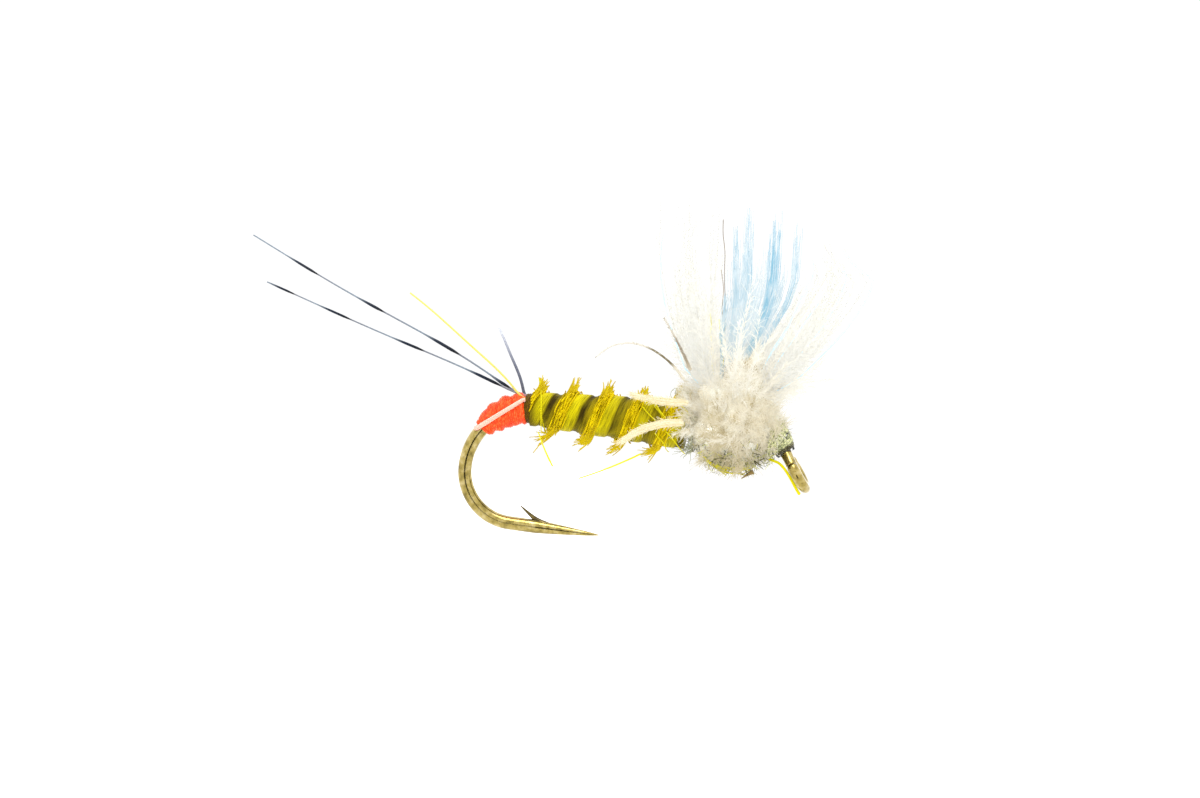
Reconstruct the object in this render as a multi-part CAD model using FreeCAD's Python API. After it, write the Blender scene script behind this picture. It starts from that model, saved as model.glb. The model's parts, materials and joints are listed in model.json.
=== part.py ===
import FreeCAD, Part

import math
import os

from FreeCAD import Rotation, Vector

# A dry fly tied on a down-eye hook. Millimetres. +X runs along the shank towards the eye, +Z is
# up towards the wing, and the origin is the centre of the hole in the hook's eye.

# ---- hook
WIRE_R = 0.22                 # round wire of the shank, bend and spear
SHANK_Z = 0.95                # shank axis above the eye's centre
EYE_DROP_DEG = 54.0           # how far the eye turns down from the shank
EYE_RING_R = 0.50             # centreline radius of the eye ring
EYE_WIRE_R = 0.175            # the wire thins a little in the ring
EYE_BORE_R = 0.335            # the hole that the line passes through, coined flat inside
EYE_GAP = 0.02                # slit where the ring's end closes on the neck
EYE_GAP_DEG = 38.0            # how far round the ring from the neck the slit is
NECK_TURN_R = 0.60            # radius of the turn from shank to eye
BEND_TOP_R = 2.10             # upper quarter of the bend
BEND_LOW_R = 1.61             # lower quarter of the bend
BEND_BACK_X = -10.41          # rearmost point of the bend's centreline
TAPER_START_X = -7.75         # where the spear starts to taper
POINT_X = -5.92               # the point
POINT_R = 0.008
BARB_ROOT_X = -7.80
BARB_LENGTH = 0.76
BARB_LIFT_DEG = 38.0          # angle of the barb off the spear, raked to the rear
BARB_ROOT_R = 0.115
BARB_ROOT_Z = 0.10            # height of the barb's root above the spear's centreline
SPEAR_MID = (0.45, 0.145)     # share of the way to the point, and the radius there

# ---- thread, floss and body
THREAD_WALL = 0.04            # one bedded layer of tying thread on the wire
BUTT_FROM_DEG = 143.0         # the butt covers this stretch of the upper bend, in degrees
BUTT_TO_DEG = 101.0
BUTT_PROFILE = ((0.0, 0.27), (0.15, 0.37), (0.42, 0.46), (0.75, 0.50), (0.93, 0.49), (1.0, 0.44))
BUTT_OVERRUN_DEG = 8.0        # how far the butt's bore is cut past its end
SPLIT_FROM = (-10.18, 0.06)   # the pale strand's ends (X, Z), on the bare bend and at the tie-in
SPLIT_TO = (-8.76, 1.22)
SPLIT_R = (0.055, 0.045)
SPLIT_PROUD = 0.012           # it is pressed no deeper than the butt's skin
BODY_X = (-8.50, -3.60)       # ends of the wound body
BODY_Z = (0.91, 1.07)         # its axis climbs a little, because tail butts lie on top of the shank
BODY_R = (0.53, 0.79)
BIOT_WALL = 0.07
BIOT_PITCH = 1.10
BIOT_LEAD_IN = 1.25           # turns of the strip that are wound before the rear end and cut off
BIOT_SEAM = 0.01              # open seam between turns, as a share of the pitch
FRINGE_SHARE = 0.20           # share of the pitch where the strip's ragged edge stands up
FRINGE_PROUD = 0.05
TIE_IN_X = (-8.74, -8.52)
TIE_IN_R = (0.44, 0.49)
TIE_IN_DROP = 0.03            # these turns sit a little low on the shank
FIT_GAP = 0.004               # running room between neighbours, so that no two solids overlap

# ---- tail
TAIL_BASE_X = -8.68
TAIL_BUTT_LENGTH = 1.9        # lies on the shank under the body
TAIL_ROOT_R = 0.045
TAIL_TIP_R = 0.012
STRAND_SIDES = 8
STRAND_STEPS = 3              # outlines for each point that a strand passes through
TAIL_KICK = 0.2               # share of the way to its middle where a fibre has turned upwards

# ---- thorax, hackle and wing
THORAX_X = (-3.55, -0.78)
THORAX_R = 1.12
HACKLE_CENTRE = Vector(-2.12, 0, 1.28)
HACKLE_RADII = (1.62, 1.72, 1.62)
BODY_WAY_GAP = 0.12           # room round the body where it enters the collar
HEAD_WAY_R = 0.70             # the opening that the head comes out of, and its direction
HEAD_WAY_SLOPE = Vector(1, 0, -0.75)
WING_X = -2.35
WING_TOP_Z = 8.1
POST_WRAP_R = 0.46
POST_WRAP_Z = (1.36, 1.70)
HEAD_PROFILE = ((0, 0.66), (14, 0.62), (30, 0.50), (44, 0.39), (EYE_DROP_DEG, 0.33))
WHIP_R = (0.325, 0.28)
WHIP_LENGTH = 0.12
CEMENT_SKIN = 0.022
TAG_BESIDE = 0.06             # the clipped thread end stays this far outside the hole
TAG_UNDER = 0.05              # and this far below the ring

Y_AXIS = Vector(0, 1, 0)
EYE_DROP = math.radians(EYE_DROP_DEG)
EYE_DIRECTION = Vector(math.cos(EYE_DROP), 0, -math.sin(EYE_DROP))
EYE_NORMAL = Vector(math.sin(EYE_DROP), 0, math.cos(EYE_DROP))
SHANK_R = WIRE_R + THREAD_WALL          # outside of the thread base
SHANK_REAR_X = BEND_BACK_X + BEND_TOP_R
BEND_Z = SHANK_Z - BEND_TOP_R           # height of both bend centres
SPEAR_Z = BEND_Z - BEND_LOW_R
# The neck line through the eye meets the shank line here, and an arc rounds the corner.
CORNER = EYE_DIRECTION * (-SHANK_Z / math.sin(EYE_DROP))
CORNER_CUT = NECK_TURN_R * math.tan(EYE_DROP / 2)
NECK_START = Vector(CORNER.x - CORNER_CUT, 0, SHANK_Z)
NECK_END = CORNER + EYE_DIRECTION * CORNER_CUT


def bend_point(degrees, reach=BEND_TOP_R):
    """A point on the upper bend; 90 is the end of the shank and 180 the rearmost point."""
    a = math.radians(degrees)
    return Vector(SHANK_REAR_X + reach * math.cos(a), 0, BEND_Z + reach * math.sin(a))


def bend_tangent(degrees):
    a = math.radians(degrees)
    return Vector(-math.sin(a), 0, math.cos(a))


def neck_point(degrees):
    """(point, direction) on the turn from shank to eye, from 0 to EYE_DROP_DEG."""
    a = math.radians(degrees)
    centre = NECK_START - Vector(0, 0, NECK_TURN_R)
    point = centre + Vector(math.sin(a), 0, math.cos(a)) * NECK_TURN_R
    return point, Vector(math.cos(a), 0, -math.sin(a))


def circle(point, direction, radius):
    """A circle square to a direction, turned so that a row of them lofts without a twist."""
    ring = Part.makeCircle(radius)
    turn = Rotation(Vector(1, 0, 0), Y_AXIS, direction, "ZYX")
    ring.Placement = FreeCAD.Placement(point, turn)
    return Part.Wire(ring)


def loft(wires):
    return Part.makeLoft(wires, True, False)


def tube(path, radius):
    """A round bar along a wire of lines and arcs that starts at its first edge."""
    edge = path.OrderedEdges[0]
    start = edge.firstVertex(True).Point
    direction = edge.tangentAt(edge.FirstParameter)
    return path.makePipeShell([circle(start, direction, radius)], True, False)


def strand(points, root_r, tip_r):
    """A tapering hair through the points, with flats round it as a feather barb has."""
    curve = Part.BSplineCurve()
    curve.interpolate(points)
    steps = STRAND_STEPS * len(points)
    outlines = []
    for i in range(steps + 1):
        t = curve.FirstParameter + (curve.LastParameter - curve.FirstParameter) * i / steps
        radius = root_r + (tip_r - root_r) * i / steps
        turn = Rotation(Vector(1, 0, 0), Y_AXIS, Vector(*curve.tangent(t)[0]), "ZYX")
        corners = []
        for side in range(STRAND_SIDES + 1):
            a = 2 * math.pi * side / STRAND_SIDES
            corner = Vector(radius * math.cos(a), radius * math.sin(a), 0)
            corners.append(curve.value(t) + turn.multVec(corner))
        outlines.append(Part.makePolygon(corners))
    return Part.makeLoft(outlines, True, True)


def oval(x, z, rx, ry, lean_deg=0.0):
    """A level ellipse about (x, 0, z), as a closed wire; lean_deg tips it about Y."""
    major, minor = max(rx, ry), min(rx, ry)
    ellipse = Part.Ellipse(Vector(0, 0, 0), major, minor).toShape()
    if ry > rx:
        ellipse.rotate(Vector(0, 0, 0), Vector(0, 0, 1), 90)
    ellipse.rotate(Vector(0, 0, 0), Y_AXIS, lean_deg)
    ellipse.translate(Vector(x, 0, z))
    return Part.Wire(ellipse)


def ellipsoid(centre, radii, grow=0.0):
    ball = Part.makeSphere(1.0)
    matrix = FreeCAD.Matrix()
    matrix.scale(radii[0] + grow, radii[1] + grow, radii[2] + grow)
    matrix.move(centre)
    return ball.transformGeometry(matrix)


# ---- hook

def bend_path(from_deg):
    """Centreline of the shank side: the upper bend from from_deg, then the shank to the neck."""
    middle = bend_point((from_deg + 90) / 2)
    arc = Part.Arc(bend_point(from_deg), middle, bend_point(90)).toShape()
    shank = Part.makeLine(bend_point(90), NECK_START)
    return Part.Wire([arc, shank])


def hook():
    neck_middle, _ = neck_point(EYE_DROP_DEG / 2)
    rear = Vector(BEND_BACK_X, 0, BEND_Z)
    low_centre = Vector(BEND_BACK_X + BEND_LOW_R, 0, BEND_Z)
    diagonal = math.sqrt(0.5) * BEND_LOW_R
    low_middle = low_centre + Vector(-diagonal, 0, -diagonal)
    low_end = Vector(low_centre.x, 0, SPEAR_Z)
    taper = Vector(TAPER_START_X, 0, SPEAR_Z)
    path = Part.Wire([
        Part.Arc(NECK_END, neck_middle, NECK_START).toShape(),
        Part.makeLine(NECK_START, bend_point(90)),
        Part.Arc(bend_point(90), bend_point(135), rear).toShape(),
        Part.Arc(rear, low_middle, low_end).toShape(),
        Part.makeLine(low_end, taper),
    ])
    body = path.makePipeShell([circle(NECK_END, EYE_DIRECTION, WIRE_R)], True, False)
    forward = Vector(1, 0, 0)
    point = loft([
        circle(taper, forward, WIRE_R),
        circle(taper + forward * (POINT_X - TAPER_START_X) * SPEAR_MID[0], forward, SPEAR_MID[1]),
        circle(Vector(POINT_X, 0, SPEAR_Z), forward, POINT_R),
    ])
    neck_length = (EYE_DIRECTION * -EYE_RING_R - NECK_END).Length
    neck = Part.makeCone(WIRE_R, EYE_WIRE_R, neck_length, NECK_END, EYE_DIRECTION)
    ring = Part.makeTorus(EYE_RING_R, EYE_WIRE_R, Vector(0, 0, 0), EYE_NORMAL)
    lift = math.radians(BARB_LIFT_DEG)
    rake = Vector(-math.cos(lift), 0, math.sin(lift))
    root = Vector(BARB_ROOT_X, 0, SPEAR_Z + BARB_ROOT_Z)
    barb = Part.makeCone(BARB_ROOT_R, POINT_R, BARB_LENGTH, root, rake)
    solid = body.fuse([point, neck, ring, barb])
    bore = Part.makeCylinder(EYE_BORE_R, 1.0, EYE_NORMAL * -0.5, EYE_NORMAL)
    return solid.cut([bore, eye_slit()]).removeSplitter()


def eye_slit():
    """The narrow radial gap where the ring's end closes on the neck."""
    reach = EYE_RING_R + 2 * EYE_WIRE_R
    height = 4 * EYE_WIRE_R
    gap = Part.makeBox(reach, EYE_GAP, height, Vector(EYE_BORE_R / 2, -EYE_GAP / 2, -height / 2))
    gap.rotate(Vector(0, 0, 0), Vector(0, 0, 1), 180 - EYE_GAP_DEG)
    gap.rotate(Vector(0, 0, 0), Y_AXIS, EYE_DROP_DEG)
    return gap


# ---- thread and butt

def thread_base():
    outer = tube(bend_path(BUTT_FROM_DEG), SHANK_R)
    inner = tube(bend_path(BUTT_FROM_DEG), WIRE_R)
    return outer.cut(inner)


def butt_shape(grow=0.0):
    """The floss butt's outside: a spindle that follows the bend, fatter towards the body."""
    rings = []
    for share, radius in BUTT_PROFILE:
        degrees = BUTT_FROM_DEG + (BUTT_TO_DEG - BUTT_FROM_DEG) * share
        rings.append(circle(bend_point(degrees), bend_tangent(degrees), radius + grow))
    return loft(rings)


def butt_floss():
    core = tube(bend_path(BUTT_FROM_DEG + BUTT_OVERRUN_DEG), SHANK_R + FIT_GAP)
    grooves = [fibre for _, fibre in tail_fibres(FIT_GAP)]
    return largest(butt_shape().cut([core, splitting_strand(FIT_GAP)] + grooves))


def butt_radius(degrees):
    """Outside radius of the butt, or of the wire beyond it, at a place round the bend."""
    share = (degrees - BUTT_FROM_DEG) / (BUTT_TO_DEG - BUTT_FROM_DEG)
    if share < 0:
        return WIRE_R
    for (low, low_r), (high, high_r) in zip(BUTT_PROFILE, BUTT_PROFILE[1:]):
        if share <= high:
            return low_r + (high_r - low_r) * (share - low) / (high - low)
    return BUTT_PROFILE[-1][1]


def splitting_strand(grow=0.0):
    """The pale strand laid straight over the butt's near side, from the bare bend to the tie-in."""
    points = []
    for share in (0.0, 0.2, 0.4, 0.6, 0.8, 1.0):
        x = SPLIT_FROM[0] + (SPLIT_TO[0] - SPLIT_FROM[0]) * share
        z = SPLIT_FROM[1] + (SPLIT_TO[1] - SPLIT_FROM[1]) * share
        dx, dz = x - SHANK_REAR_X, z - BEND_Z
        off = math.hypot(dx, dz) - BEND_TOP_R
        clear = butt_radius(math.degrees(math.atan2(dz, dx))) + SPLIT_R[0] + SPLIT_PROUD
        points.append(Vector(x, -math.sqrt(clear ** 2 - off ** 2), z))
    return strand(points, SPLIT_R[0] + grow, SPLIT_R[1] + grow)


def tie_in_wraps():
    length = TIE_IN_X[1] - TIE_IN_X[0]
    start = Vector(TIE_IN_X[0], 0, SHANK_Z - TIE_IN_DROP)
    band = Part.makeCone(TIE_IN_R[0], TIE_IN_R[1], length, start, Vector(1, 0, 0))
    grooves = [fibre for _, fibre in tail_fibres(FIT_GAP)]
    return largest(band.cut([shank_core(), butt_shape(FIT_GAP)] + grooves))


# ---- tail

def tail_fibre(tip, middle, side, grow=0.0, root_r=TAIL_ROOT_R, tip_r=TAIL_TIP_R):
    """One tail fibre: its butt lies on the thread base, and it leaves the tie-in upwards."""
    seat_z = SHANK_Z + math.sqrt((SHANK_R + root_r + 4 * FIT_GAP) ** 2 - side ** 2)
    tie = Vector(TAIL_BASE_X - 0.1, side, seat_z + 0.03)
    points = [
        Vector(TAIL_BASE_X + TAIL_BUTT_LENGTH, side, seat_z),
        Vector(TAIL_BASE_X + 0.8, side, seat_z),
        Vector(TAIL_BASE_X + 0.2, side, seat_z),
        tie,
        tie + (middle - tie) * TAIL_KICK,
        middle,
        tip,
    ]
    return strand(points, root_r + grow, tip_r + grow)


def tail_fibres(grow=0.0):
    """The two long barred fibres, the short one splayed to the far side, and the yellow one."""
    return [
        ("tail_fibre_upper",
         tail_fibre(Vector(-18.18, 0.7, 5.18), Vector(-14.57, 0.4, 3.66), 0.10, grow)),
        ("tail_fibre_lower",
         tail_fibre(Vector(-17.09, -1.7, 3.90), Vector(-13.15, -0.85, 2.64), -0.10, grow)),
        ("tail_fibre_short",
         tail_fibre(Vector(-10.04, 1.3, 3.21), Vector(-9.47, 0.75, 2.4), 0.21, grow, 0.04)),
        ("tail_fibre_yellow",
         tail_fibre(Vector(-12.5, -2.1, 4.16), Vector(-10.4, -1.15, 2.62), -0.20, grow, 0.03)),
    ]


# ---- body

def body_axis():
    start = Vector(BODY_X[0], 0, BODY_Z[0])
    end = Vector(BODY_X[1], 0, BODY_Z[1])
    return start, end, (end - start).normalize()


def shank_core():
    return tube(bend_path(BUTT_FROM_DEG), SHANK_R + FIT_GAP)


def underbody():
    """The tapered bed of thread under the body, wound over the tail butts."""
    start, end, along = body_axis()
    inset = BIOT_WALL + 2 * FIT_GAP
    taper = Part.makeCone(BODY_R[0] - inset, BODY_R[1] - inset, (end - start).Length, start, along)
    grooves = [fibre for _, fibre in tail_fibres(FIT_GAP)]
    return largest(taper.cut([shank_core()] + grooves))


def body_biot():
    """A flat strip wound left-handed round the body, its ragged edge standing up as a rib."""
    start, end, along = body_axis()
    length = (end - start).Length
    slope = (BODY_R[1] - BODY_R[0]) / length
    lead_in = BIOT_LEAD_IN * BIOT_PITCH
    lead_in_r = BODY_R[0] - slope * lead_in
    flare = math.degrees(math.atan(slope))
    helix = Part.makeHelix(BIOT_PITCH, length + lead_in, lead_in_r, flare, True)
    first, rib, last = BIOT_SEAM, 1 - FRINGE_SHARE, 1 - BIOT_SEAM
    outline = ((first, -BIOT_WALL), (last, -BIOT_WALL), (last, FRINGE_PROUD),
               (rib, FRINGE_PROUD), (rib, 0), (first, 0))
    corners = []
    for share, height in outline:
        rise = share * BIOT_PITCH
        corners.append(Vector(lead_in_r + rise * slope + height, 0, rise))
    profile = Part.makePolygon(corners + corners[:1])
    strip = Part.Wire(helix).makePipeShell([profile], True, True)
    strip.Placement = FreeCAD.Placement(start - along * lead_in,
                                        Rotation(Vector(0, 0, 1), along))
    trim = Part.makeCylinder(2 * BODY_R[1], length, start, along)
    return largest(strip.common(trim))


# ---- thorax, wing and hackle

def largest(shape):
    return max(shape.Solids, key=lambda solid: solid.Volume)


def thorax_shape(grow=0.0):
    rear, front = THORAX_X
    radii = ((front - rear) / 2, THORAX_R, THORAX_R)
    return ellipsoid(Vector((rear + front) / 2, 0, SHANK_Z), radii, grow)


def yarn_shape(grow=0.0):
    """The yarn post's outside: a round foot on the shank that spreads into a fan."""
    foot = SHANK_Z + SHANK_R + 0.02
    stations = [
        (WING_X, foot - grow, 0.30, 0.30),
        (WING_X, 1.90, 0.34, 0.34),
        (WING_X + 0.02, 2.90, 0.42, 0.52),
        (WING_X + 0.33, 4.60, 0.88, 0.85, -3),
        (WING_X + 0.42, 6.40, 1.20, 1.05, -3),
        (WING_X + 0.42, WING_TOP_Z + grow, 1.38, 1.05, -3),
    ]
    return loft([oval(x, z, rx + grow, ry + grow, *lean) for x, z, rx, ry, *lean in stations])


def wraps_shape(grow=0.0):
    low, high = POST_WRAP_Z
    return Part.makeCylinder(POST_WRAP_R + grow, high - low + 2 * grow,
                             Vector(WING_X, 0, low - grow))


def wing_post_wraps():
    """Thread wound round the yarn's foot to stand it up."""
    return wraps_shape().cut([yarn_shape(FIT_GAP), shank_core()])


def thorax_dubbing():
    reach = 2 * THORAX_R
    corner = Vector(BODY_X[1] + FIT_GAP - reach, -reach, SHANK_Z - reach)
    body_side = Part.makeBox(reach, 2 * reach, 2 * reach, corner)
    return largest(thorax_shape().cut([
        shank_core(), yarn_shape(FIT_GAP), wraps_shape(FIT_GAP), head_shape(FIT_GAP),
        neck_core(SHANK_R + FIT_GAP), body_side,
    ]))


def hackle_ball(grow=0.0):
    return ellipsoid(HACKLE_CENTRE, HACKLE_RADII, grow)


def hackle_collar():
    """The ball of pale down round the thorax, open at its ends for the body and the head."""
    _, end, along = body_axis()
    body_way = Part.makeCylinder(BODY_R[1] + BODY_WAY_GAP, 3.0, end - along * 2.7, along)
    head_way = Part.makeCylinder(HEAD_WAY_R, 1.6, Vector(-1.15, 0, SHANK_Z), HEAD_WAY_SLOPE)
    return largest(hackle_ball().cut([thorax_shape(FIT_GAP), body_way, head_way,
                                      yarn_shape(FIT_GAP), head_shape(FIT_GAP)]))


def down_fan(stations):
    """A spread of wing down as an oval loft, clear of the collar below and the yarn beside it."""
    fan = loft([oval(*station) for station in stations])
    return largest(fan.cut([yarn_shape(FIT_GAP), hackle_ball(FIT_GAP)]))


def wing_down_rear():
    return down_fan([
        (-3.05, 2.1, 0.50, 0.85),
        (-3.70, 4.2, 0.80, 1.25, -13),
        (-4.15, 6.2, 0.95, 1.35, -13),
        (-4.30, 7.7, 0.75, 1.10, -10),
    ])


def wing_down_front():
    return down_fan([
        (-1.50, 2.2, 0.60, 0.85),
        (-0.75, 3.8, 0.90, 1.25, 20),
        (-0.02, 5.3, 1.20, 1.40, 23),
        (0.60, 6.9, 1.15, 1.10, 23),
    ])


def trailing_barb_upper():
    """A soft barb of down that lies back over the near side of the body."""
    return strand([Vector(-3.62, -0.98, 1.84), Vector(-4.1, -0.92, 1.78),
                   Vector(-4.7, -0.78, 1.76), Vector(-5.4, -0.66, 1.84)], 0.09, 0.04)


def trailing_barb_lower():
    return strand([Vector(-3.68, -1.14, 1.20), Vector(-4.2, -1.08, 1.12),
                   Vector(-4.9, -0.98, 0.84), Vector(-5.55, -0.95, 0.30)], 0.11, 0.04)


def dark_barb_swept():
    """A dark webby barb that arches back out of the down, above the body."""
    return strand([Vector(-3.86, -0.62, 2.50), Vector(-4.6, -0.66, 3.14),
                   Vector(-5.5, -0.7, 3.42), Vector(-6.65, -0.8, 2.85)], 0.03, 0.01)


def dark_barb_upright():
    return strand([Vector(-3.66, -1.12, 2.86), Vector(-4.08, -1.45, 3.60),
                   Vector(-4.62, -1.60, 4.35)], 0.03, 0.01)


def loose_fibre_front():
    """A stray yellow fibre that escapes below the body, swept to the rear."""
    return strand([Vector(-4.9, -0.55, 0.02), Vector(-5.8, -0.75, -0.52),
                   Vector(-6.7, -0.9, -0.97)], 0.018, 0.008)


def loose_fibre_rear():
    return strand([Vector(-8.2, -0.35, 0.25), Vector(-7.95, -0.5, -0.2),
                   Vector(-7.59, -0.6, -0.74)], 0.018, 0.008)


# ---- head

def neck_core(radius):
    """The turned-down neck of the hook as a plain bar, for clearing what is wound on it."""
    middle, _ = neck_point(EYE_DROP_DEG / 2)
    arc = Part.Arc(NECK_START, middle, NECK_END).toShape()
    line = Part.makeLine(NECK_END, EYE_DIRECTION * -0.3)
    return tube(Part.Wire([arc, line]), radius)


def head_rings(stations, grow=0.0):
    """Circles square to the neck; a station is (degrees round its turn, radius, reach past it)."""
    rings = []
    for degrees, radius, *past in stations:
        point, direction = neck_point(degrees)
        rings.append(circle(point + direction * sum(past), direction, radius + grow))
    return rings


def head_shape(grow=0.0):
    return loft(head_rings(HEAD_PROFILE, grow))


def head_wraps():
    """A cone of thread that closes down the neck towards the eye."""
    return head_shape().cut(neck_core(WIRE_R + FIT_GAP))


def whip_finish_shape(grow=0.0):
    """The last turns, locked under themselves just behind the eye."""
    start = NECK_END + EYE_DIRECTION * (2 * FIT_GAP - grow)
    return Part.makeCone(WHIP_R[0] + grow, WHIP_R[1] + grow, WHIP_LENGTH + 2 * grow,
                         start, EYE_DIRECTION)


def whip_finish():
    return whip_finish_shape().cut(neck_core(WIRE_R + FIT_GAP))


def head_cement():
    """The skin of clear cement over the front of the finished head."""
    front = [station for station in HEAD_PROFILE if station[0] >= 30]
    finish = [(EYE_DROP_DEG, WHIP_R[1], WHIP_LENGTH + CEMENT_SKIN)]
    skin = loft(head_rings(front + finish, CEMENT_SKIN))
    return largest(skin.cut([head_shape(FIT_GAP), whip_finish_shape(FIT_GAP),
                             neck_core(WIRE_R + FIT_GAP)]))


def thread_tag():
    """The clipped end of the tying thread, beside the hole on the under side of the eye."""
    beside = EYE_BORE_R + TAG_BESIDE
    under = EYE_WIRE_R + TAG_UNDER
    points = []
    for along, off, side in ((-0.64, 0.14, 0.5 * beside), (-0.32, 0.02, beside),
                             (0.10, 0.0, beside), (0.58, 0.0, 0.9 * beside)):
        point = EYE_DIRECTION * along - EYE_NORMAL * (under + off)
        points.append(Vector(point.x, -side, point.z))
    return strand(points, 0.03, 0.022)


def write_parts():
    parts = [hook, thread_base, butt_floss, tie_in_wraps, underbody, body_biot, thorax_dubbing,
             wing_post_wraps, wing_down_rear, wing_down_front, hackle_collar,
             trailing_barb_upper, trailing_barb_lower, dark_barb_swept, dark_barb_upright,
             loose_fibre_front, loose_fibre_rear, head_wraps, whip_finish, head_cement,
             thread_tag]
    shapes = {part.__name__: part() for part in parts}
    shapes["wing_yarn"] = yarn_shape()
    shapes["tail_splitting_strand"] = splitting_strand()
    shapes.update(tail_fibres())
    os.makedirs("parts", exist_ok=True)
    for name, shape in sorted(shapes.items()):
        shape.exportStep(f"parts/{name}.step")
        print(name, "solids", len(shape.Solids), "valid", shape.isValid(),
              "volume", round(shape.Volume, 4))


write_parts()
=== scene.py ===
import json
import math

import bpy
import numpy as np
from mathutils import Matrix, Vector


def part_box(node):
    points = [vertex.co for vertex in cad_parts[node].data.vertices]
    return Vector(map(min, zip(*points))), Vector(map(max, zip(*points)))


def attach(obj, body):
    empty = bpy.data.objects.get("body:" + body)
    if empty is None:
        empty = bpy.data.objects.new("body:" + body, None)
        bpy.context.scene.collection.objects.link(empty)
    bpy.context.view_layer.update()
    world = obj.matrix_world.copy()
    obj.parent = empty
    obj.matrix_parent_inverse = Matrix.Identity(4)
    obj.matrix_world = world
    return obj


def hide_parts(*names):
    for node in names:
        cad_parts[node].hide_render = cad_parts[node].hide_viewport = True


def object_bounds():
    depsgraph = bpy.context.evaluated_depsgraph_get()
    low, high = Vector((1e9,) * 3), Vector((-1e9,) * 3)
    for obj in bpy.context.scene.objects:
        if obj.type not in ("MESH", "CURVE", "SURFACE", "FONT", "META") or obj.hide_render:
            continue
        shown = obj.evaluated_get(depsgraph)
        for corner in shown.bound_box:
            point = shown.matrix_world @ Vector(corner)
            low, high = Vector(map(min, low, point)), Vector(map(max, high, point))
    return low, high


# A dry fly, 20 mm long. Shapes are worked out in millimetres in the CAD frame and turned into
# metres when a piece is made. Every piece rides on the one body, because nothing on a fly moves.
# Arrays of hairs are (n, k, 3): n hairs, k points along each, 3 coordinates.

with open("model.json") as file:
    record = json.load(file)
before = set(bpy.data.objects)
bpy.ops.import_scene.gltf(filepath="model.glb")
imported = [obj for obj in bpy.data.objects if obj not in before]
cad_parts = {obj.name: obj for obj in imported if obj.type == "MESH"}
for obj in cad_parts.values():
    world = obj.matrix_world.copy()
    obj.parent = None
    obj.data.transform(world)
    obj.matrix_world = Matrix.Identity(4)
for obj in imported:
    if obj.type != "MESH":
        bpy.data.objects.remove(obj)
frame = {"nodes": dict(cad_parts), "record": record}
CAD_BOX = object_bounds()

MM = 0.001
BODY = "root"
UV_NAME = "OFBake"            # the UV layer that the materials read
X_AXIS, Y_AXIS = np.eye(3)[:2]
TURN = 2 * math.pi


# ---- reading the frame

def box(node):
    """Lowest and highest corner of a CAD node, in millimetres."""
    return np.array(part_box(node)) / MM


def cad_points(node):
    mesh = frame["nodes"][node].data
    points = np.empty(len(mesh.vertices) * 3)
    mesh.vertices.foreach_get("co", points)
    return points.reshape(-1, 3) / MM


def section(node, axis, place):
    """Lowest and highest corner of the cut through a CAD node, square to an axis."""
    mesh = frame["nodes"][node].data
    edges = np.empty(len(mesh.edges) * 2, dtype=np.int32)
    mesh.edges.foreach_get("vertices", edges)
    a, b = cad_points(node)[edges.reshape(-1, 2).T]
    crosses = (a[:, axis] - place) * (b[:, axis] - place) < 0
    a, b = a[crosses], b[crosses]
    share = (place - a[:, axis]) / (b[:, axis] - a[:, axis])
    cut = a + share[:, None] * (b - a)
    return cut.min(axis=0), cut.max(axis=0)


def centreline(node, count):
    """Points down the middle of a CAD strand, from its end with the greatest X to the other."""
    low, high = box(node)[:, 0]
    inset = 0.004 * (high - low)
    places = np.linspace(high - inset, low + inset, count)
    return resample([np.mean(section(node, 0, place), axis=0) for place in places], count)


# ---- driving sizes, from the frame

THREAD_WALL = 0.04            # thread on the bare wire
TOP_SHARE = 0.566             # the upper bend's share of the bend's height
EYE_WIRE_R = 0.175
NECK_TURN_R = 0.60

thread_corner = box("thread_base")[1]
shank_r = thread_corner[1]
shank_z = thread_corner[2] - shank_r
wire_r = shank_r - THREAD_WALL
hook_low, hook_high = box("hook")
bend_back_x = hook_low[0] + wire_r
spear_z = hook_low[2] + wire_r
top_r = (shank_z - spear_z) * TOP_SHARE
low_r = (shank_z - spear_z) - top_r
bend_z = shank_z - top_r
shank_rear_x = bend_back_x + top_r
spear_rear_x = bend_back_x + low_r

eye_mount = next(m for m in frame["record"]["mounts"] if m["name"] == "hook_eye")
eye_centre = np.array(eye_mount["pos_m"]) / MM
eye_way = np.cross(Y_AXIS, eye_mount["axis"])    # along the neck, towards the eye
eye_way = eye_way if eye_way[2] < 0 else -eye_way
eye_ring_r = hook_high[1] - EYE_WIRE_R
eye_drop = math.atan2(-eye_way[2], eye_way[0])

tie_low, tie_high = box("tie_in_wraps")
body_low, body_high = box("body_biot")
post_low, post_high = box("wing_post_wraps")
post_x = (post_low[0] + post_high[0]) / 2
ball_low, ball_high = box("hackle_collar")
ball_centre = (ball_low + ball_high) / 2
ball_radii = (ball_high - ball_low) / 2


# ---- curves and vectors

def unit(vectors):
    length = np.linalg.norm(vectors, axis=-1, keepdims=True)
    return vectors / np.maximum(length, 1e-9)


def arc(centre, radius, from_deg, to_deg, count):
    """Points on an arc in the XZ plane; 0 degrees is +X and 90 is +Z."""
    a = np.radians(np.linspace(from_deg, to_deg, count))
    return np.stack([centre[0] + radius * np.cos(a), np.zeros(count),
                     centre[1] + radius * np.sin(a)], axis=-1)


def distance_along(points):
    """How far along a polyline each of its points is."""
    steps = np.linalg.norm(np.diff(points, axis=0), axis=1)
    return np.concatenate([[0], np.cumsum(steps)])


def resample(points, count):
    """The polyline through the points, as evenly spaced points."""
    points = np.asarray(points, dtype=float)
    far = distance_along(points)
    at = np.linspace(0, 1, count) * far[-1]
    return np.stack([np.interp(at, far, points[:, i]) for i in range(3)], axis=-1)


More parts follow.
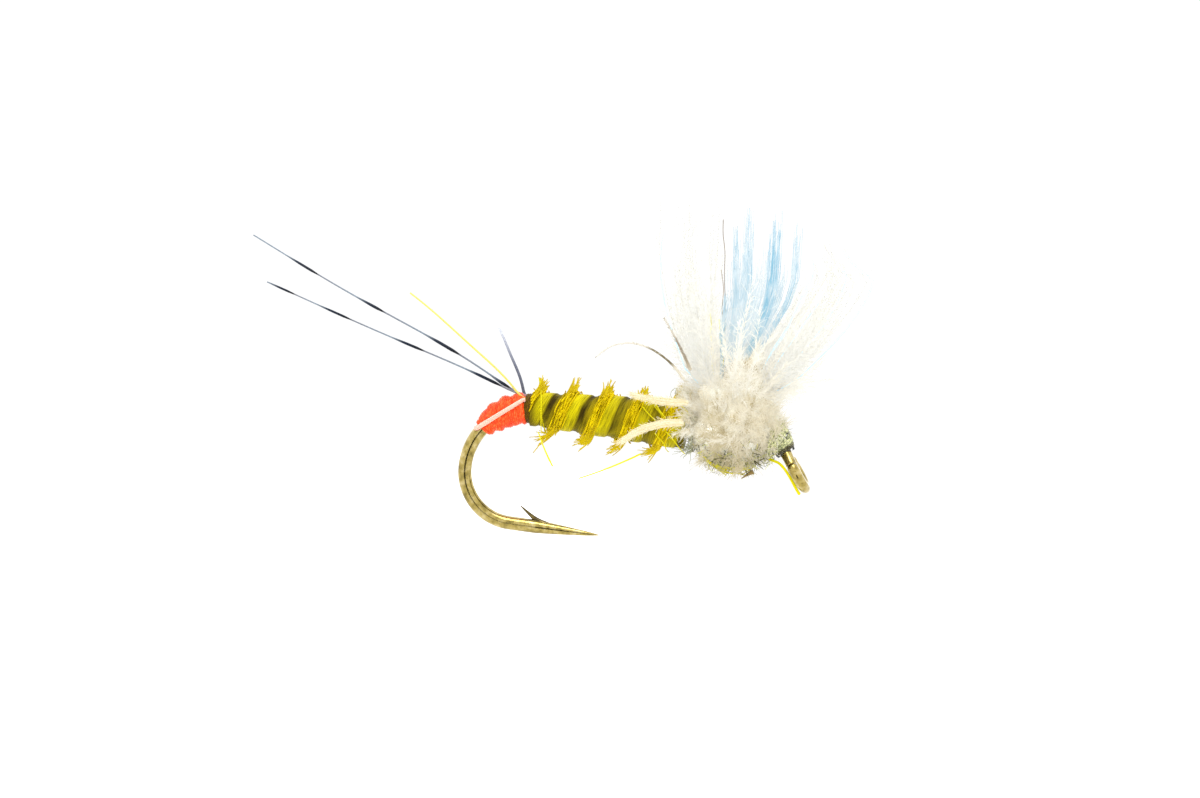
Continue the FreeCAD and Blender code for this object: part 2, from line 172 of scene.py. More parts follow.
def smooth_curve(points, count):
    """A Catmull-Rom curve through a few points."""
    points = np.asarray(points, dtype=float)
    padded = np.concatenate([[2 * points[0] - points[1]], points, [2 * points[-1] - points[-2]]])
    out = []
    for t in np.linspace(0, len(points) - 1, count):
        i = min(int(t), len(points) - 2)
        s = t - i
        a, b, c, d = padded[i:i + 4]
        out.append(0.5 * (2 * b + (c - a) * s + (2 * a - 5 * b + 4 * c - d) * s * s
                          + (3 * b - 3 * c + d - a) * s ** 3))
    return np.array(out)


def at_share(paths, share):
    """The point at a share (0 to 1) of each path (n, k, 3); share is (n, m)."""
    count = paths.shape[1]
    place = np.clip(share, 0, 1) * (count - 1)
    low = np.minimum(place.astype(int), count - 2)
    part = (place - low)[..., None]
    rows = np.arange(len(paths))[:, None]
    return paths[rows, low] * (1 - part) + paths[rows, low + 1] * part


def shares(steps):
    """The share of the way along a hair at each of its points, as (1, k, 1)."""
    return np.linspace(0, 1, steps)[None, :, None]


def wander(rng, count, steps, amount, waves):
    """A smooth sideways drift (n, k, 3) for hairs, nothing at their roots."""
    t = shares(steps)
    drift = np.zeros((count, steps, 3))
    for wave in range(1, waves + 1):
        way = rng.normal(size=(count, 1, 3))
        phase = rng.uniform(0, TURN, (count, 1, 1))
        speed = wave * rng.uniform(0.6, 1.3, (count, 1, 1))
        drift += way * (np.sin(speed * math.pi * t + phase) - np.sin(phase)) / wave
    return drift * amount * np.sqrt(t)


def grow(rng, root, way, reach, steps, drift, waves):
    """Hairs that leave their roots (n, 3) straight on for a reach, and wander a little."""
    straight = root[:, None] + way[:, None] * reach * shares(steps)
    return straight + wander(rng, len(root), steps, drift, waves)


def bundle(rng, spine, count, reach, drift):
    """Filaments spread round a spine (k, 3), within a reach that may change along it."""
    angle = rng.uniform(0, TURN, count)[:, None, None]
    out = reach * np.sqrt(rng.uniform(0, 1, count))[:, None, None]
    side, up = frames_along(spine[None])
    paths = spine + (side * np.cos(angle) + up * np.sin(angle)) * out
    return paths + wander(rng, count, len(spine), drift, 4)


def feather(rng, stems, barbules, length, lean, steps, from_share, curl):
    """Barbules that grow from stems (n, k, 3); returns their paths (n * barbules, steps, 3)."""
    count = len(stems)
    share = np.sort(rng.uniform(from_share, 1.0, (count, barbules)), axis=1)
    root = at_share(stems, share)
    ahead = unit(at_share(stems, share + 0.06) - at_share(stems, share - 0.06))
    around = rng.normal(size=root.shape)
    around = unit(around - ahead * np.sum(around * ahead, axis=-1, keepdims=True))
    angle = rng.uniform(*lean, (count, barbules, 1))
    way = ahead * np.cos(angle) + around * np.sin(angle)
    reach = length * rng.uniform(0.5, 1.15, (count, barbules, 1)) * (1 - 0.35 * share[..., None])
    bend = rng.normal(size=root.shape) * curl * reach
    t = np.linspace(0, 1, steps)[:, None]
    paths = root[..., None, :] + (way * reach)[..., None, :] * t + bend[..., None, :] * t ** 2
    return paths.reshape(count * barbules, steps, 3)


def sphere_ways(rng, count):
    return unit(rng.normal(size=(count, 3)))


def disc(rng, count, power=0.5):
    """Random places (n, 2) on a disc; power 0.5 spreads them evenly."""
    angle = rng.uniform(0, TURN, count)
    reach = rng.uniform(0, 1, count) ** power
    return np.stack([reach * np.cos(angle), reach * np.sin(angle)], axis=-1)


# ---- mesh making. A shape is its points and its groups of faces; a group is the faces' corners,
# ---- the corners' UV places (around, along) and the number of each face's tube.

def frames_along(paths):
    """A side and an up vector at each point of the paths, with no twist."""
    tangent = unit(np.gradient(paths, axis=1))
    first = tangent[:, 0]
    start = np.where(np.abs(first[:, 1:2]) > 0.9, X_AXIS, Y_AXIS)
    side = np.empty_like(paths)
    side[:, 0] = unit(start - first * np.sum(start * first, axis=1, keepdims=True))
    for i in range(1, paths.shape[1]):
        here = tangent[:, i]
        last = side[:, i - 1]
        side[:, i] = unit(last - here * np.sum(last * here, axis=1, keepdims=True))
    return side, np.cross(tangent, side)


def rings_round(paths, sides):
    """The outward directions (n, k, sides, 3) round each point of the paths."""
    side, up = frames_along(paths)
    angle = np.arange(sides) * TURN / sides
    return side[:, :, None] * np.cos(angle)[:, None] + up[:, :, None] * np.sin(angle)[:, None]


def grid_faces(index):
    """The group of quads between neighbouring rings of point numbers (n, k, sides)."""
    count, rings, sides = index.shape
    a, b = index[:, :-1], index[:, 1:]
    quads = np.stack([a, np.roll(a, -1, 2), np.roll(b, -1, 2), b], axis=-1)
    j = np.broadcast_to(np.arange(sides), a.shape)
    i = np.broadcast_to(np.arange(rings - 1)[:, None], a.shape)
    around = np.stack([j, j + 1, j + 1, j], axis=-1) / sides
    along = np.stack([i, i, i + 1, i + 1], axis=-1) / (rings - 1)
    places = np.stack([around, along], axis=-1)
    tube = np.repeat(np.arange(count), (rings - 1) * sides)
    return quads.reshape(-1, 4), places.reshape(-1, 4, 2), tube


def tubes(paths, radii, sides):
    """Closed tubes along paths; radii is (n, k) or (n, k, sides)."""
    count, steps = paths.shape[:2]
    radii = np.asarray(radii, dtype=float).reshape(count, steps, -1)
    points = paths[:, :, None] + rings_round(paths, sides) * radii[..., None]
    index = np.arange(count * steps * sides).reshape(count, steps, sides)
    groups = [grid_faces(index)]
    flat = np.broadcast_to(np.arange(sides) / sides, (count, sides))
    for faces, end in ((index[:, 0, ::-1], 0.0), (index[:, -1], 1.0)):
        places = np.stack([flat, np.full(flat.shape, end)], axis=-1)
        groups.append((faces, places, np.arange(count)))
    return points.reshape(-1, 3), groups


def shell(skin, bore):
    """A closed shell between two grids of rings (k, sides, 3)."""
    rows = np.concatenate([skin, bore[::-1]])
    index = np.arange(rows[..., 0].size).reshape(1, *rows.shape[:2])
    closed = np.concatenate([index, index[:, :1]], axis=1)
    return rows.reshape(-1, 3), [grid_faces(closed)]


def link(name, data):
    thing = bpy.data.objects.new(name, data)
    bpy.context.scene.collection.objects.link(thing)
    return thing


def piece(name, shape, material, nodes, sharp_deg=None):
    """Makes one piece of the fly in place of its CAD nodes, and rides it on the body."""
    points, groups = shape
    mesh = bpy.data.meshes.new(name)
    corners = np.concatenate([faces.ravel() for faces, _, _ in groups])
    sizes = np.concatenate([np.full(len(faces), faces.shape[1]) for faces, _, _ in groups])
    places = np.concatenate([uv.reshape(-1, 2) for _, uv, _ in groups])
    mesh.vertices.add(len(points))
    mesh.vertices.foreach_set("co", (points * MM).astype(np.float32).ravel())
    mesh.loops.add(len(corners))
    mesh.loops.foreach_set("vertex_index", corners.astype(np.int32))
    mesh.polygons.add(len(sizes))
    mesh.polygons.foreach_set("loop_start", (np.cumsum(sizes) - sizes).astype(np.int32))
    layer = mesh.uv_layers.new(name=UV_NAME)
    mesh.update(calc_edges=True)
    layer.data.foreach_set("uv", places.astype(np.float32).ravel())
    mesh.polygons.foreach_set("use_smooth", np.ones(len(sizes), dtype=bool))
    if sharp_deg is not None:
        mesh.set_sharp_from_angle(angle=math.radians(sharp_deg))
    mesh.materials.append(material)
    thing = link(name, mesh)
    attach(thing, BODY)
    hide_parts(*nodes.split())
    return thing


def taper(count, steps, root_r, tip_r, power=1.0):
    """Radii (n, k) that run from the root to the tip; root_r may be one value for each hair."""
    t = np.linspace(0, 1, steps) ** power
    root = np.broadcast_to(root_r, (count,))[:, None]
    return root * (1 - t) + tip_r * t


def hairs(name, paths, ends, tint, material, nodes, sides=3, airy=False):
    """Many closed hairs as one piece; ends are the root's and the tip's radius, for taper.

    tint (n,) picks each hair's colour from its material; a random generator draws the tints.
    Airy hairs let light past them, because real outer down is far finer than these hairs.
    """
    if isinstance(tint, np.random.Generator):
        tint = tint.uniform(0, 1, len(paths))
    points, groups = tubes(paths, taper(*paths.shape[:2], *ends), sides)
    width = 0.03
    tint = width + (1 - 2 * width) * np.asarray(tint)
    for _, places, tube in groups:
        places[..., 0] = tint[tube][:, None] + (places[..., 0] - 0.5) * width
    thing = piece(name, (points, groups), material, nodes)
    if airy:
        thing.visible_diffuse = False
        thing.visible_transmission = False


def ridges(path, sides, pitch, height):
    """Helical ridges (k, sides) of thread wound along a path at a pitch."""
    phase = distance_along(path)[:, None] / pitch - np.arange(sides) / sides
    return height * np.abs(np.sin(math.pi * phase))


def wound(name, nodes, material, path, valley_r, turns, bore_r, sharp_deg=60):
    """A sleeve of thread along a path; turns are (sides, pitch, height) of its ridges.

    valley_r is the radius between the turns: one value, (k, 1) or (k, sides).
    """
    outer = valley_r + ridges(path, *turns)
    ring = rings_round(path[None], outer.shape[1])[0]
    shape = shell(path[:, None] + ring * outer[..., None], path[:, None] + ring * bore_r)
    piece(name, shape, material, nodes, sharp_deg)


# ---- materials

def hue(text):
    """A linear colour from a hex sRGB one."""
    values = [int(text[i:i + 2], 16) / 255 for i in (0, 2, 4)]
    linear = [v / 12.92 if v <= 0.04045 else ((v + 0.055) / 1.055) ** 2.4 for v in values]
    return (*linear, 1.0)


class Finish:
    """A material's node tree, with short calls for the nodes used here."""

    def __init__(self, name, roughness=0.6, specular=0.3):
        self.material = bpy.data.materials.new(name)
        self.material.use_nodes = True
        self.tree = self.material.node_tree
        self.shader = self.tree.nodes["Principled BSDF"]
        self.surface = self.tree.nodes["Material Output"].inputs["Surface"]
        self.set(Roughness=roughness, Specular_IOR_Level=specular)

    def put(self, value, socket):
        """Links a socket's value, or sets it from a number, a vector or a hex colour."""
        if isinstance(value, bpy.types.NodeSocket):
            self.tree.links.new(value, socket)
        else:
            socket.default_value = hue(value) if isinstance(value, str) else value

    def set(self, **inputs):
        for name, value in inputs.items():
            self.put(value, self.shader.inputs[name.replace("_", " ")])

    def add(self, kind, *values, output=0, **settings):
        """Adds a node and fills its inputs in order; None leaves one as it is."""
        made = self.tree.nodes.new("ShaderNode" + kind)
        for key, value in settings.items():
            setattr(made, key, value)
        for value, socket in zip(values, made.inputs):
            if value is not None:
                self.put(value, socket)
        return made.outputs[output]

    def math(self, operation, *values):
        return self.add("Math", *values, operation=operation)

    def scaled(self, vector, *scale):
        return self.add("VectorMath", vector, scale, operation="MULTIPLY")

    def place(self):
        """Object position in millimetres."""
        return self.scaled(self.add("TexCoord", output=3), *[1 / MM] * 3)

    def parts(self, vector):
        return self.add("SeparateXYZ", vector).node.outputs

    def uv(self):
        """(across, along) of the piece's own UV layer."""
        return self.parts(self.add("UVMap", uv_map=UV_NAME))[:2]

    def noise(self, vector, size, detail=2.0):
        """Noise from 0 to 1 with features of a size in millimetres."""
        return self.add("TexNoise", vector, None, 1.0 / size, detail)

    def ramp(self, factor, *stops):
        """A colour ramp. A stop is its place and a hex colour or a grey from 0 to 1.

        Hex colours without places are spread evenly.
        """
        if isinstance(stops[0], str):
            stops = list(zip(np.linspace(0, 1, len(stops)), stops))
        made = self.tree.nodes.new("ShaderNodeValToRGB")
        band = made.color_ramp.elements
        while len(band) < len(stops):
            band.new(0.5)
        for element, (place, colour) in zip(band, stops):
            element.position = place
            element.color = hue(colour) if isinstance(colour, str) else (colour,) * 3 + (1.0,)
        self.put(factor, made.inputs[0])
        return made.outputs[0]

    def mix(self, factor, a, b, blend="MIX"):
        return self.add("Mix", factor, *[None] * 5, a, b, output=2, data_type="RGBA",
                        blend_type=blend)

    def done(self, colour, bump=None, through=0.0):
        """Sets the colour and the bump (height, strength, distance), and returns the material.

        through is the share of light that passes, as through thin fibres.
        """
        self.set(Base_Color=colour)
        if bump:
            height, strength, distance = bump
            self.set(Normal=self.add("Bump", strength, distance * MM, None, height))
        if through:
            thin = self.add("BsdfTranslucent", colour)
            self.put(self.add("MixShader", through, self.shader.outputs[0], thin), self.surface)
        return self.material


def hair_finish(name, tints, tips=None, through=0.35, roughness=0.55):
    """Hairs coloured by their tint; tips is a ramp along the hair that multiplies it."""
    finish = Finish(name, roughness, 0.05)
    across, along = finish.uv()
    colour = finish.ramp(across, *tints)
    if tips:
        colour = finish.mix(1.0, colour, finish.ramp(along, *tips), "MULTIPLY")
    return finish.done(colour, through=through)


def plain_fibre(name, dark, light):
    """Matt fibre that is a little uneven in colour."""
    finish = Finish(name, 0.9, 0.5)
    return finish.done(finish.ramp(finish.noise(finish.place(), 0.2), (0.3, dark), (0.7, light)))


def bronze(name, shades, streak):
    """Bronze lacquer over steel wire: mottled, and worn dark in specks by a share of streak."""
    finish = Finish(name)
    where = finish.place()
    mottle = finish.noise(where, 0.22, 4.0)
    colour = finish.ramp(mottle, *zip((0.30, 0.5, 0.72), shades))
    worn = finish.ramp(finish.noise(where, 0.045), (0.60, 0.0), (0.68, 1.0))
    colour = finish.mix(finish.math("MULTIPLY", worn, streak), colour, "3f3112")
    finish.set(Metallic=1.0, Roughness=finish.ramp(mottle, (0.3, 0.10), (0.7, 0.20)),
               Coat_Weight=0.35, Coat_Roughness=0.08)
    return finish.done(colour, (finish.noise(where, 0.03, 3.0), 0.15, 0.01))


def thread(name, dark, light, stray):
    """Waxed tying thread: its filaments show as fine streaks round each turn."""
    finish = Finish(name, 0.5, 0.08)
    where = finish.place()
    fine = finish.noise(finish.scaled(where, 1.0, 0.25, 0.25), 0.025, 3.0)
    patch = finish.noise(where, 0.3)
    colour = finish.mix(patch, finish.ramp(fine, (0.35, dark), (0.65, light)), stray)
    return finish.done(colour, (fine, 0.5, 0.012))


def floss():
    """Fluorescent floss: fine flat filaments, with deeper red patches."""
    finish = Finish("orange_floss", 0.5, 0.15)
    where = finish.place()
    fine = finish.noise(finish.scaled(where, 1.0, 0.16, 0.3), 0.03, 3.0)
    colour = finish.ramp(fine, (0.30, "c03208"), (0.52, "dc4414"), (0.75, "ee7a3c"))
    patch = finish.noise(finish.scaled(where, 1.0, 0.2, 0.35), 0.16)
    colour = finish.mix(finish.ramp(patch, (0.5, 0.0), (0.7, 0.7)), colour, "e02c08")
    return finish.done(colour, (fine, 0.6, 0.02))


def barred(name, bands):
    """Glassy pale fibre with dark bars at the given shares of its length."""
    finish = Finish(name, 0.3, 0.15)
    stops = []
    for start, end in bands:
        stops += [(start - 0.008, "787c86"), (start + 0.004, "0d1018"), (end - 0.03, "1b2536"),
                  (end + 0.008, "7c8894")]
    colour = finish.ramp(finish.uv()[1], *stops)
    speck = finish.ramp(finish.noise(finish.place(), 0.05), (0.3, 0.25), (0.7, 1.0))
    return finish.done(finish.mix(0.35, colour, speck, "MULTIPLY"), through=0.2)


def grey_fibre():
    """Grey fibre that pales towards its tip."""
    finish = Finish("grey_fibre", 0.4, 0.15)
    shade = finish.ramp(finish.uv()[1], (0.5, "5b5e6c"), (0.68, "6c7080"), (0.85, "a5a8b5"),
                        (1, "d2d5de"))
    fine = finish.noise(finish.scaled(finish.place(), 1.0, 1.0, 0.3), 0.03)
    lines = finish.ramp(fine, (0.3, 0.4), (0.7, 1.0))
    return finish.done(finish.mix(0.5, shade, lines, "MULTIPLY"), through=0.3)


def biot_finish():
    """One flat strip: a lime band, its dark edge, brown flues and the golden fringe, with painted
    shade over its first turns at the rear.
    """
    finish = Finish("olive_biot", 0.55, 0.04)
    where = finish.place()
    x, y, z = finish.parts(where)
    slope = (BODY_AXIS_Z[1] - BODY_AXIS_Z[0]) / (body_high[0] - body_low[0])
    from_rear = finish.math("SUBTRACT", x, body_low[0])
    axis_z = finish.math("MULTIPLY_ADD", from_rear, slope, BODY_AXIS_Z[0])
    angle = finish.math("ARCTAN2", finish.math("MULTIPLY", y, -1.0),
                        finish.math("SUBTRACT", axis_z, z))
    wound_on = finish.math("MULTIPLY_ADD", from_rear, 1 / BIOT_PITCH, BIOT_LEAD)
    phase = finish.math("SUBTRACT", wound_on, finish.math("DIVIDE", angle, TURN))
    uneven = finish.math("SUBTRACT", finish.noise(where, 0.9), 0.5)
    phase = finish.math("MULTIPLY_ADD", uneven, 0.16, phase)
    base = finish.ramp(finish.math("FRACT", phase), (0, "b6a404"), (0.08, "b0a403"),
                       (0.34, "9c9002"), (0.42, "352a02"), (0.53, "2a2102"), (0.60, "665803"),
                       (0.74, "827003"), (0.84, "b8a103"), (1, "c2ac04"))
    worn = finish.noise(finish.scaled(where, 0.5, 1.0, 1.0), 1.1, 1.0)
    base = finish.mix(finish.ramp(worn, (0.42, 0.0), (0.62, 0.65)), base, "857804")
    flat = finish.add("CombineXYZ", finish.math("MULTIPLY", phase, BIOT_PITCH * 30),
                      finish.math("MULTIPLY", angle, 1.3))
    streak = finish.noise(flat, 1.0, 4.0)
    lines = finish.ramp(streak, (0.34, 0.45), (0.52, 1.0), (0.70, 1.3))
    colour = finish.mix(1.0, base, lines, "MULTIPLY")
    # painted shade: the first turns at the body's rear end are darkened towards dark brown
    rear = finish.ramp(from_rear, (0.06, 0.8), (0.26, 0.0))
    colour = finish.mix(rear, colour, "3a2a02")
    patch = finish.noise(where, 0.25, 3.0)
    colour = finish.mix(finish.ramp(patch, (0.55, 0.0), (0.75, 0.4)), colour, "5e5806")
    return finish.done(colour, (streak, 0.7, 0.025))


def yarn_finish():
    """Dyed yarn: each filament's own blue, which pales where its crinkle turns to the light."""
    finish = Finish("blue_yarn", 0.5, 0.1)
    across, along = finish.uv()
    blue = finish.ramp(across, (0, "c0c6c8"), (0.35, "acb8be"), (0.7, "8eaab8"), (1, "6f9cb1"))
    crinkle = finish.noise(finish.scaled(finish.place(), 2.2, 2.2, 1.0), 0.55, 3.0)
    colour = finish.mix(finish.ramp(crinkle, (0.42, 0.0), (0.62, 0.55)), blue, "c2c8ca")
    base = finish.ramp(along, (0.30, 0.5), (0.55, 0.0))
    return finish.done(finish.mix(base, colour, "b0bcc1"), through=0.5)


def mat_finish():
    """Matted down: soft cream swirls with paler and greyer patches."""
    finish = Finish("matted_down", 0.8, 0.05)
    where = finish.place()
    swirl = finish.noise(where, 0.55)
    drift = finish.scaled(finish.add("TexNoise", where, None, 2.4, output=1), 0.9, 0.9, 0.9)
    curl = finish.add("VectorMath", where, drift, operation="ADD")
    strand = finish.noise(finish.scaled(curl, 1.0, 1.0, 0.35), 0.07, 3.0)
    colour = finish.ramp(swirl, (0.36, "a1967a"), (0.46, "b6ac94"), (0.56, "bfb9a6"),
                         (0.68, "c5c3b5"))
    lines = finish.ramp(strand, (0.30, 0.82), (0.55, 1.0))
    return finish.done(finish.mix(1.0, colour, lines, "MULTIPLY"), (strand, 0.5, 0.05))


def dubbing_core():
    """Matted fur: dark olive underneath, cream under the wing."""
    finish = Finish("dubbing_core", 0.8, 0.04)
    where = finish.place()
    mottle = finish.noise(where, 0.12, 4.0)
    olive = finish.ramp(mottle, (0.3, "33342a"), (0.5, "5e6046"), (0.7, "8f9068"))
    height = finish.math("ADD", finish.parts(where)[2], finish.math("MULTIPLY", mottle, 0.8))
    pale = finish.ramp(finish.math("MULTIPLY", finish.math("SUBTRACT", height, 0.55), 1.2),
                       (0.0, 0.0), (1.0, 1.0))
    return finish.done(finish.mix(pale, olive, "faf8ef"), (mottle, 0.8, 0.05))


def head_finish():
    """Pale waxed thread that goes dark brown towards the eye."""
    finish = Finish("head_thread", 0.5, 0.04)
    where = finish.place()
    fine = finish.noise(finish.scaled(where, 1.0, 0.25, 0.25), 0.022, 3.0)
    patch = finish.noise(where, 0.25, 3.0)
    colour = finish.ramp(fine, (0.38, "3c4128"), (0.50, "8d9168"), (0.62, "d0d098"))
    colour = finish.mix(finish.ramp(patch, (0.50, 0.0), (0.7, 0.6)), colour, "cfd0a0")
    brown = finish.ramp(finish.uv()[1], (0.36, 0.0), (0.43, 0.85))
    return finish.done(finish.mix(brown, colour, "2b1f0a"), (fine, 0.6, 0.015))


def cement():
    """Clear cement: a see-through gloss skin that takes the light at its edges."""
    finish = Finish("clear_cement", 0.05, 0.5)
    rim = finish.add("Fresnel", 1.3)
    clear = finish.add("BsdfTransparent")
    gloss = finish.add("BsdfAnisotropic", None, 0.08)
    finish.put(finish.add("MixShader", rim, clear, gloss), finish.surface)
    return finish.material


# ---- hook

SPEAR_TAPER = 2.1             # how far the point's taper runs
POINT_R = 0.006
RING_DEG = (48.0, 338.0)      # where the eye ring starts and ends, from the neck
RUN_IN = 0.42                 # how far before the ring the wire starts to leave the neck's line
RUN_IN_ASIDE = 0.03
CUT_LENGTH = 0.10             # the rounding of the wire's end


def hook_path(point):
    """The wire's centreline from the point, round the bend and the shank, to the eye ring."""
    neck_bend, neck_start, neck_end = neck_turn(14)
    ring = [ring_point(a) for a in np.linspace(*RING_DEG, 60)]
    aside = eye_centre - eye_way * (eye_ring_r + RUN_IN) - Y_AXIS * RUN_IN_ASIDE
    approach = smooth_curve([neck_end, aside, ring[0], ring[2]], 24)[:-4]
    return np.concatenate([
        np.linspace(point, (spear_rear_x, 0, spear_z), 60)[:-1],
        arc((spear_rear_x, bend_z), low_r, 270, 180, 40)[:-1],
        bend_arc(180, 90, 50)[:-1],
        np.linspace((shank_rear_x, 0, shank_z), neck_start, 12)[:-1],
        neck_bend[:-1],
        approach, ring[1:], ])


def bend_arc(from_deg, to_deg, count):
    """Points on the upper bend's centreline, which ends at 90 degrees, on the shank."""
    return arc((shank_rear_x, bend_z), top_r, from_deg, to_deg, count)


def neck_turn(count):
    """The arc that turns the shank down to the eye, with its first and last points."""
    corner = eye_centre - eye_way * (shank_z / math.sin(eye_drop))
    reach = NECK_TURN_R * math.tan(eye_drop / 2)
    start = corner - X_AXIS * reach
    centre = (start[0], shank_z - NECK_TURN_R)
    bend = arc(centre, NECK_TURN_R, 90, 90 - math.degrees(eye_drop), count)
    return bend, start, corner + eye_way * reach


def ring_point(degrees):
    """A point on the eye ring's centreline; 0 is where the neck meets it."""
    a = math.radians(degrees)
    return eye_centre - eye_way * (eye_ring_r * math.cos(a)) - Y_AXIS * (eye_ring_r * math.sin(a))


def make_hook():
    """The wire, thinner round the eye and rounded off where the ring ends, and its barb."""
    cad = cad_points("hook")
    point = np.array([cad[cad[:, 2] < spear_z + wire_r, 0].max(), 0, spear_z])
    path = resample(hook_path(point), 420)
    far = distance_along(path)
    to_end = far[-1] - far
    radius = wire_r * np.clip(far / SPEAR_TAPER, 0, 1) ** 0.72 + POINT_R
    radius = np.minimum(radius, wire_r)
    ring_length = TURN * eye_ring_r
    full = np.clip((to_end - ring_length * 0.9) / 0.8, 0, 1)
    thinned = EYE_WIRE_R + (radius - EYE_WIRE_R) * full
    radius = np.where(to_end < ring_length + 1, thinned, radius)
    rounded = 1 - (1 - np.clip(to_end / CUT_LENGTH, 0, 1)) ** 2
    radius = radius * np.sqrt(np.clip(rounded, 0.02, 1))
    wire = bronze("bronzed_wire", ("645722", "8f7e40", "ab9c6c"), 0.45)
    piece("hook_wire", tubes(path[None], radius[None], 32), wire, "hook")
    make_barb(cad[(cad[:, 0] > spear_rear_x) & (cad[:, 2] < bend_z) & (cad[:, 0] < point[0])])


def make_barb(near):
    """The barb: a sliver cut up from the spear, of which near holds the CAD points."""
    tip = near[near[:, 2].argmax()] * (1, 0, 1) - X_AXIS * 0.10
    root = tip + (1.05, 0, -0.56)
    middle = tip * 0.5 + root * 0.5 + (0, 0, -0.07)
    path = smooth_curve([root, middle, tip], 16)
    # The barb is the wire's own bronze, given darker shades that stand in for the dark surroundings
    # it reflects: painted dark reflection.
    dark = bronze("bronzed_barb_painted_reflection", ("2e2609", "453914", "6b5c2a"), 0.3)
    piece("hook_barb", tubes(path[None], taper(1, 16, 0.150, 0.020, 0.9), 16), dark,
          "hook")


# ---- thread, floss and tail

THREAD_PITCH = 0.13
THREAD_RIDGE = 0.02           # how far a turn stands above the valleys between the turns
FINE_PITCH = 0.06


def make_thread_base():
    shank = np.linspace((shank_rear_x, 0, shank_z), (-1.0, 0, shank_z), 60)
    path = resample(np.concatenate([bend_arc(143, 90, 40)[:-1], shank]), 330)
    wound("thread_base_wraps", "thread_base", olive_thread, path, shank_r - THREAD_RIDGE,
          (24, THREAD_PITCH, THREAD_RIDGE), wire_r)


def make_butt():
    """The floss butt: a fat spindle of flat turns over the top of the bend."""
    path = resample(bend_arc(143.5, 100.5, 60), 170)
    share = np.linspace(0, 1, len(path))
    profile = np.interp(share, (0, 0.05, 0.16, 0.42, 0.75, 0.93, 1.0),
                        (0.25, 0.30, 0.37, 0.45, 0.485, 0.47, 0.42))
    lumps = 0.022 * np.sin(TURN * (share * 3.4 + 0.15))
    uneven = 0.003 * np.random.default_rng(11).normal(size=(len(path), 1))
    valley_r = (profile + lumps)[:, None] + ridges(path, 64, 0.36, 0.055) - 0.035 + uneven
    wound("butt_floss_wraps", "butt_floss", floss(), path, valley_r, (64, 0.075, 0.014),
          wire_r + 0.01, 70)


def make_tie_in():
    middle_z = (tie_low[2] + tie_high[2]) / 2
    path = np.linspace((tie_low[0], 0, middle_z), (tie_high[0], 0, middle_z), 24)
    brown = thread("brown_thread", "241a02", "6e5208", "4a3604")
    wound("tie_in_turns", "tie_in_wraps", brown, path, np.linspace(0.43, 0.47, 24)[:, None],
          (48, FINE_PITCH, THREAD_RIDGE), shank_r + 0.01)


def make_underbody():
    """The bed of thread that the biot is wound on."""
    path = np.linspace((body_low[0] + 0.03, 0, BODY_AXIS_Z[0]),
                       (body_high[0] - 0.03, 0, BODY_AXIS_Z[1]), 200)
    valley_r = np.linspace(0.44, 0.70, len(path))[:, None] - THREAD_RIDGE
    wound("underbody_wraps", "underbody", olive_thread, path, valley_r,
          (32, THREAD_PITCH, THREAD_RIDGE), shank_r + 0.005)


def make_splitting_strand():
    """A pale strand of fine filaments laid diagonally over the butt."""
    rng = np.random.default_rng(12)
    paths = bundle(rng, centreline("tail_splitting_strand", 24), 16, 0.045, 0.008)
    clear = hair_finish("clear_strand", ("ffe2d6", "ffcdb8", "fff0ea"), through=0.5, roughness=0.25)
    hairs("splitting_strand", paths, (0.026, 0.030), rng, clear,
          "tail_splitting_strand", sides=5)


def make_barred_tail(node, name, bands, pale_r, bar_r):
    """A barred tail fibre. bands are shares of the way from the tie-in to the tip.

    pale_r and bar_r are the radii, at the root and the tip, between and at the bars.
    """
    path = centreline(node, 160)
    along = distance_along(path)
    along = along / along[-1]
    hidden = np.interp(-tie_low[0], -path[:, 0], along)
    bands = hidden + (1 - hidden) * np.array(bands)
    radius = np.interp(along, (0, 1), pale_r)
    for start, end in bands:
        inside = np.clip((along - start) / 0.02, 0, 1) * np.clip((end - along) / 0.04, 0, 1)
        radius = radius + inside * (np.interp(along, (0, 1), bar_r) - radius)
    piece(name, tubes(path[None], radius[None], 10), barred(name + "_bars", bands),
          node)


def make_plain_tail(node, name, material, root_r, tip_r):
    path = centreline(node, 120)
    piece(name, tubes(path[None], taper(1, 120, root_r, tip_r), 10), material, node)


def make_tails():
    make_barred_tail("tail_fibre_upper", "tail_upper",
                     ((0.06, 0.13), (0.25, 0.37), (0.52, 0.615), (0.76, 0.87)),
                     (0.034, 0.021), (0.062, 0.038))
    make_barred_tail("tail_fibre_lower", "tail_lower",
                     ((0.10, 0.23), (0.40, 0.515), (0.68, 0.80), (0.895, 0.995)),
                     (0.032, 0.020), (0.056, 0.034))
    make_plain_tail("tail_fibre_short", "tail_short", grey_fibre(), 0.062, 0.036)
    pale = hair_finish("pale_yellow_fibre", ("c9c04a", "dad488"), through=0.3)
    make_plain_tail("tail_fibre_yellow", "tail_yellow", pale, 0.040, 0.026)


# ---- body

BIOT_PITCH = 1.10
BIOT_LEAD = 1.25              # turns wound before the body's rear end
BODY_R = (0.53, 0.79)
BODY_AXIS_Z = (0.91, 1.07)
RIB = 0.89                    # where the ragged edge stands, as a share across the strip

# Tufts of flues on each turn: where they leave (turns from the bottom), which way round, length
# and how far they lean towards the tail.
TUFTS = (
    (0.46, 1, 0.48, 0.1), (0.50, 1, 0.30, 0.0), (0.04, -1, 0.42, 0.6),
    (0.96, -1, 0.30, 0.3), (0.08, -1, 0.34, 0.9), (0.75, 1, 0.20, 0.0),
)


def body_radius(x):
    return np.interp(x, (body_low[0], body_high[0]), BODY_R)


def body_axis_z(x):
    return np.interp(x, (body_low[0], body_high[0]), BODY_AXIS_Z)


def round_body(turn):
    """Outward direction after turning from the bottom, up the near side."""
    a = np.asarray(turn) * TURN
    return np.stack([np.zeros_like(a), -np.sin(a), -np.cos(a)], axis=-1)


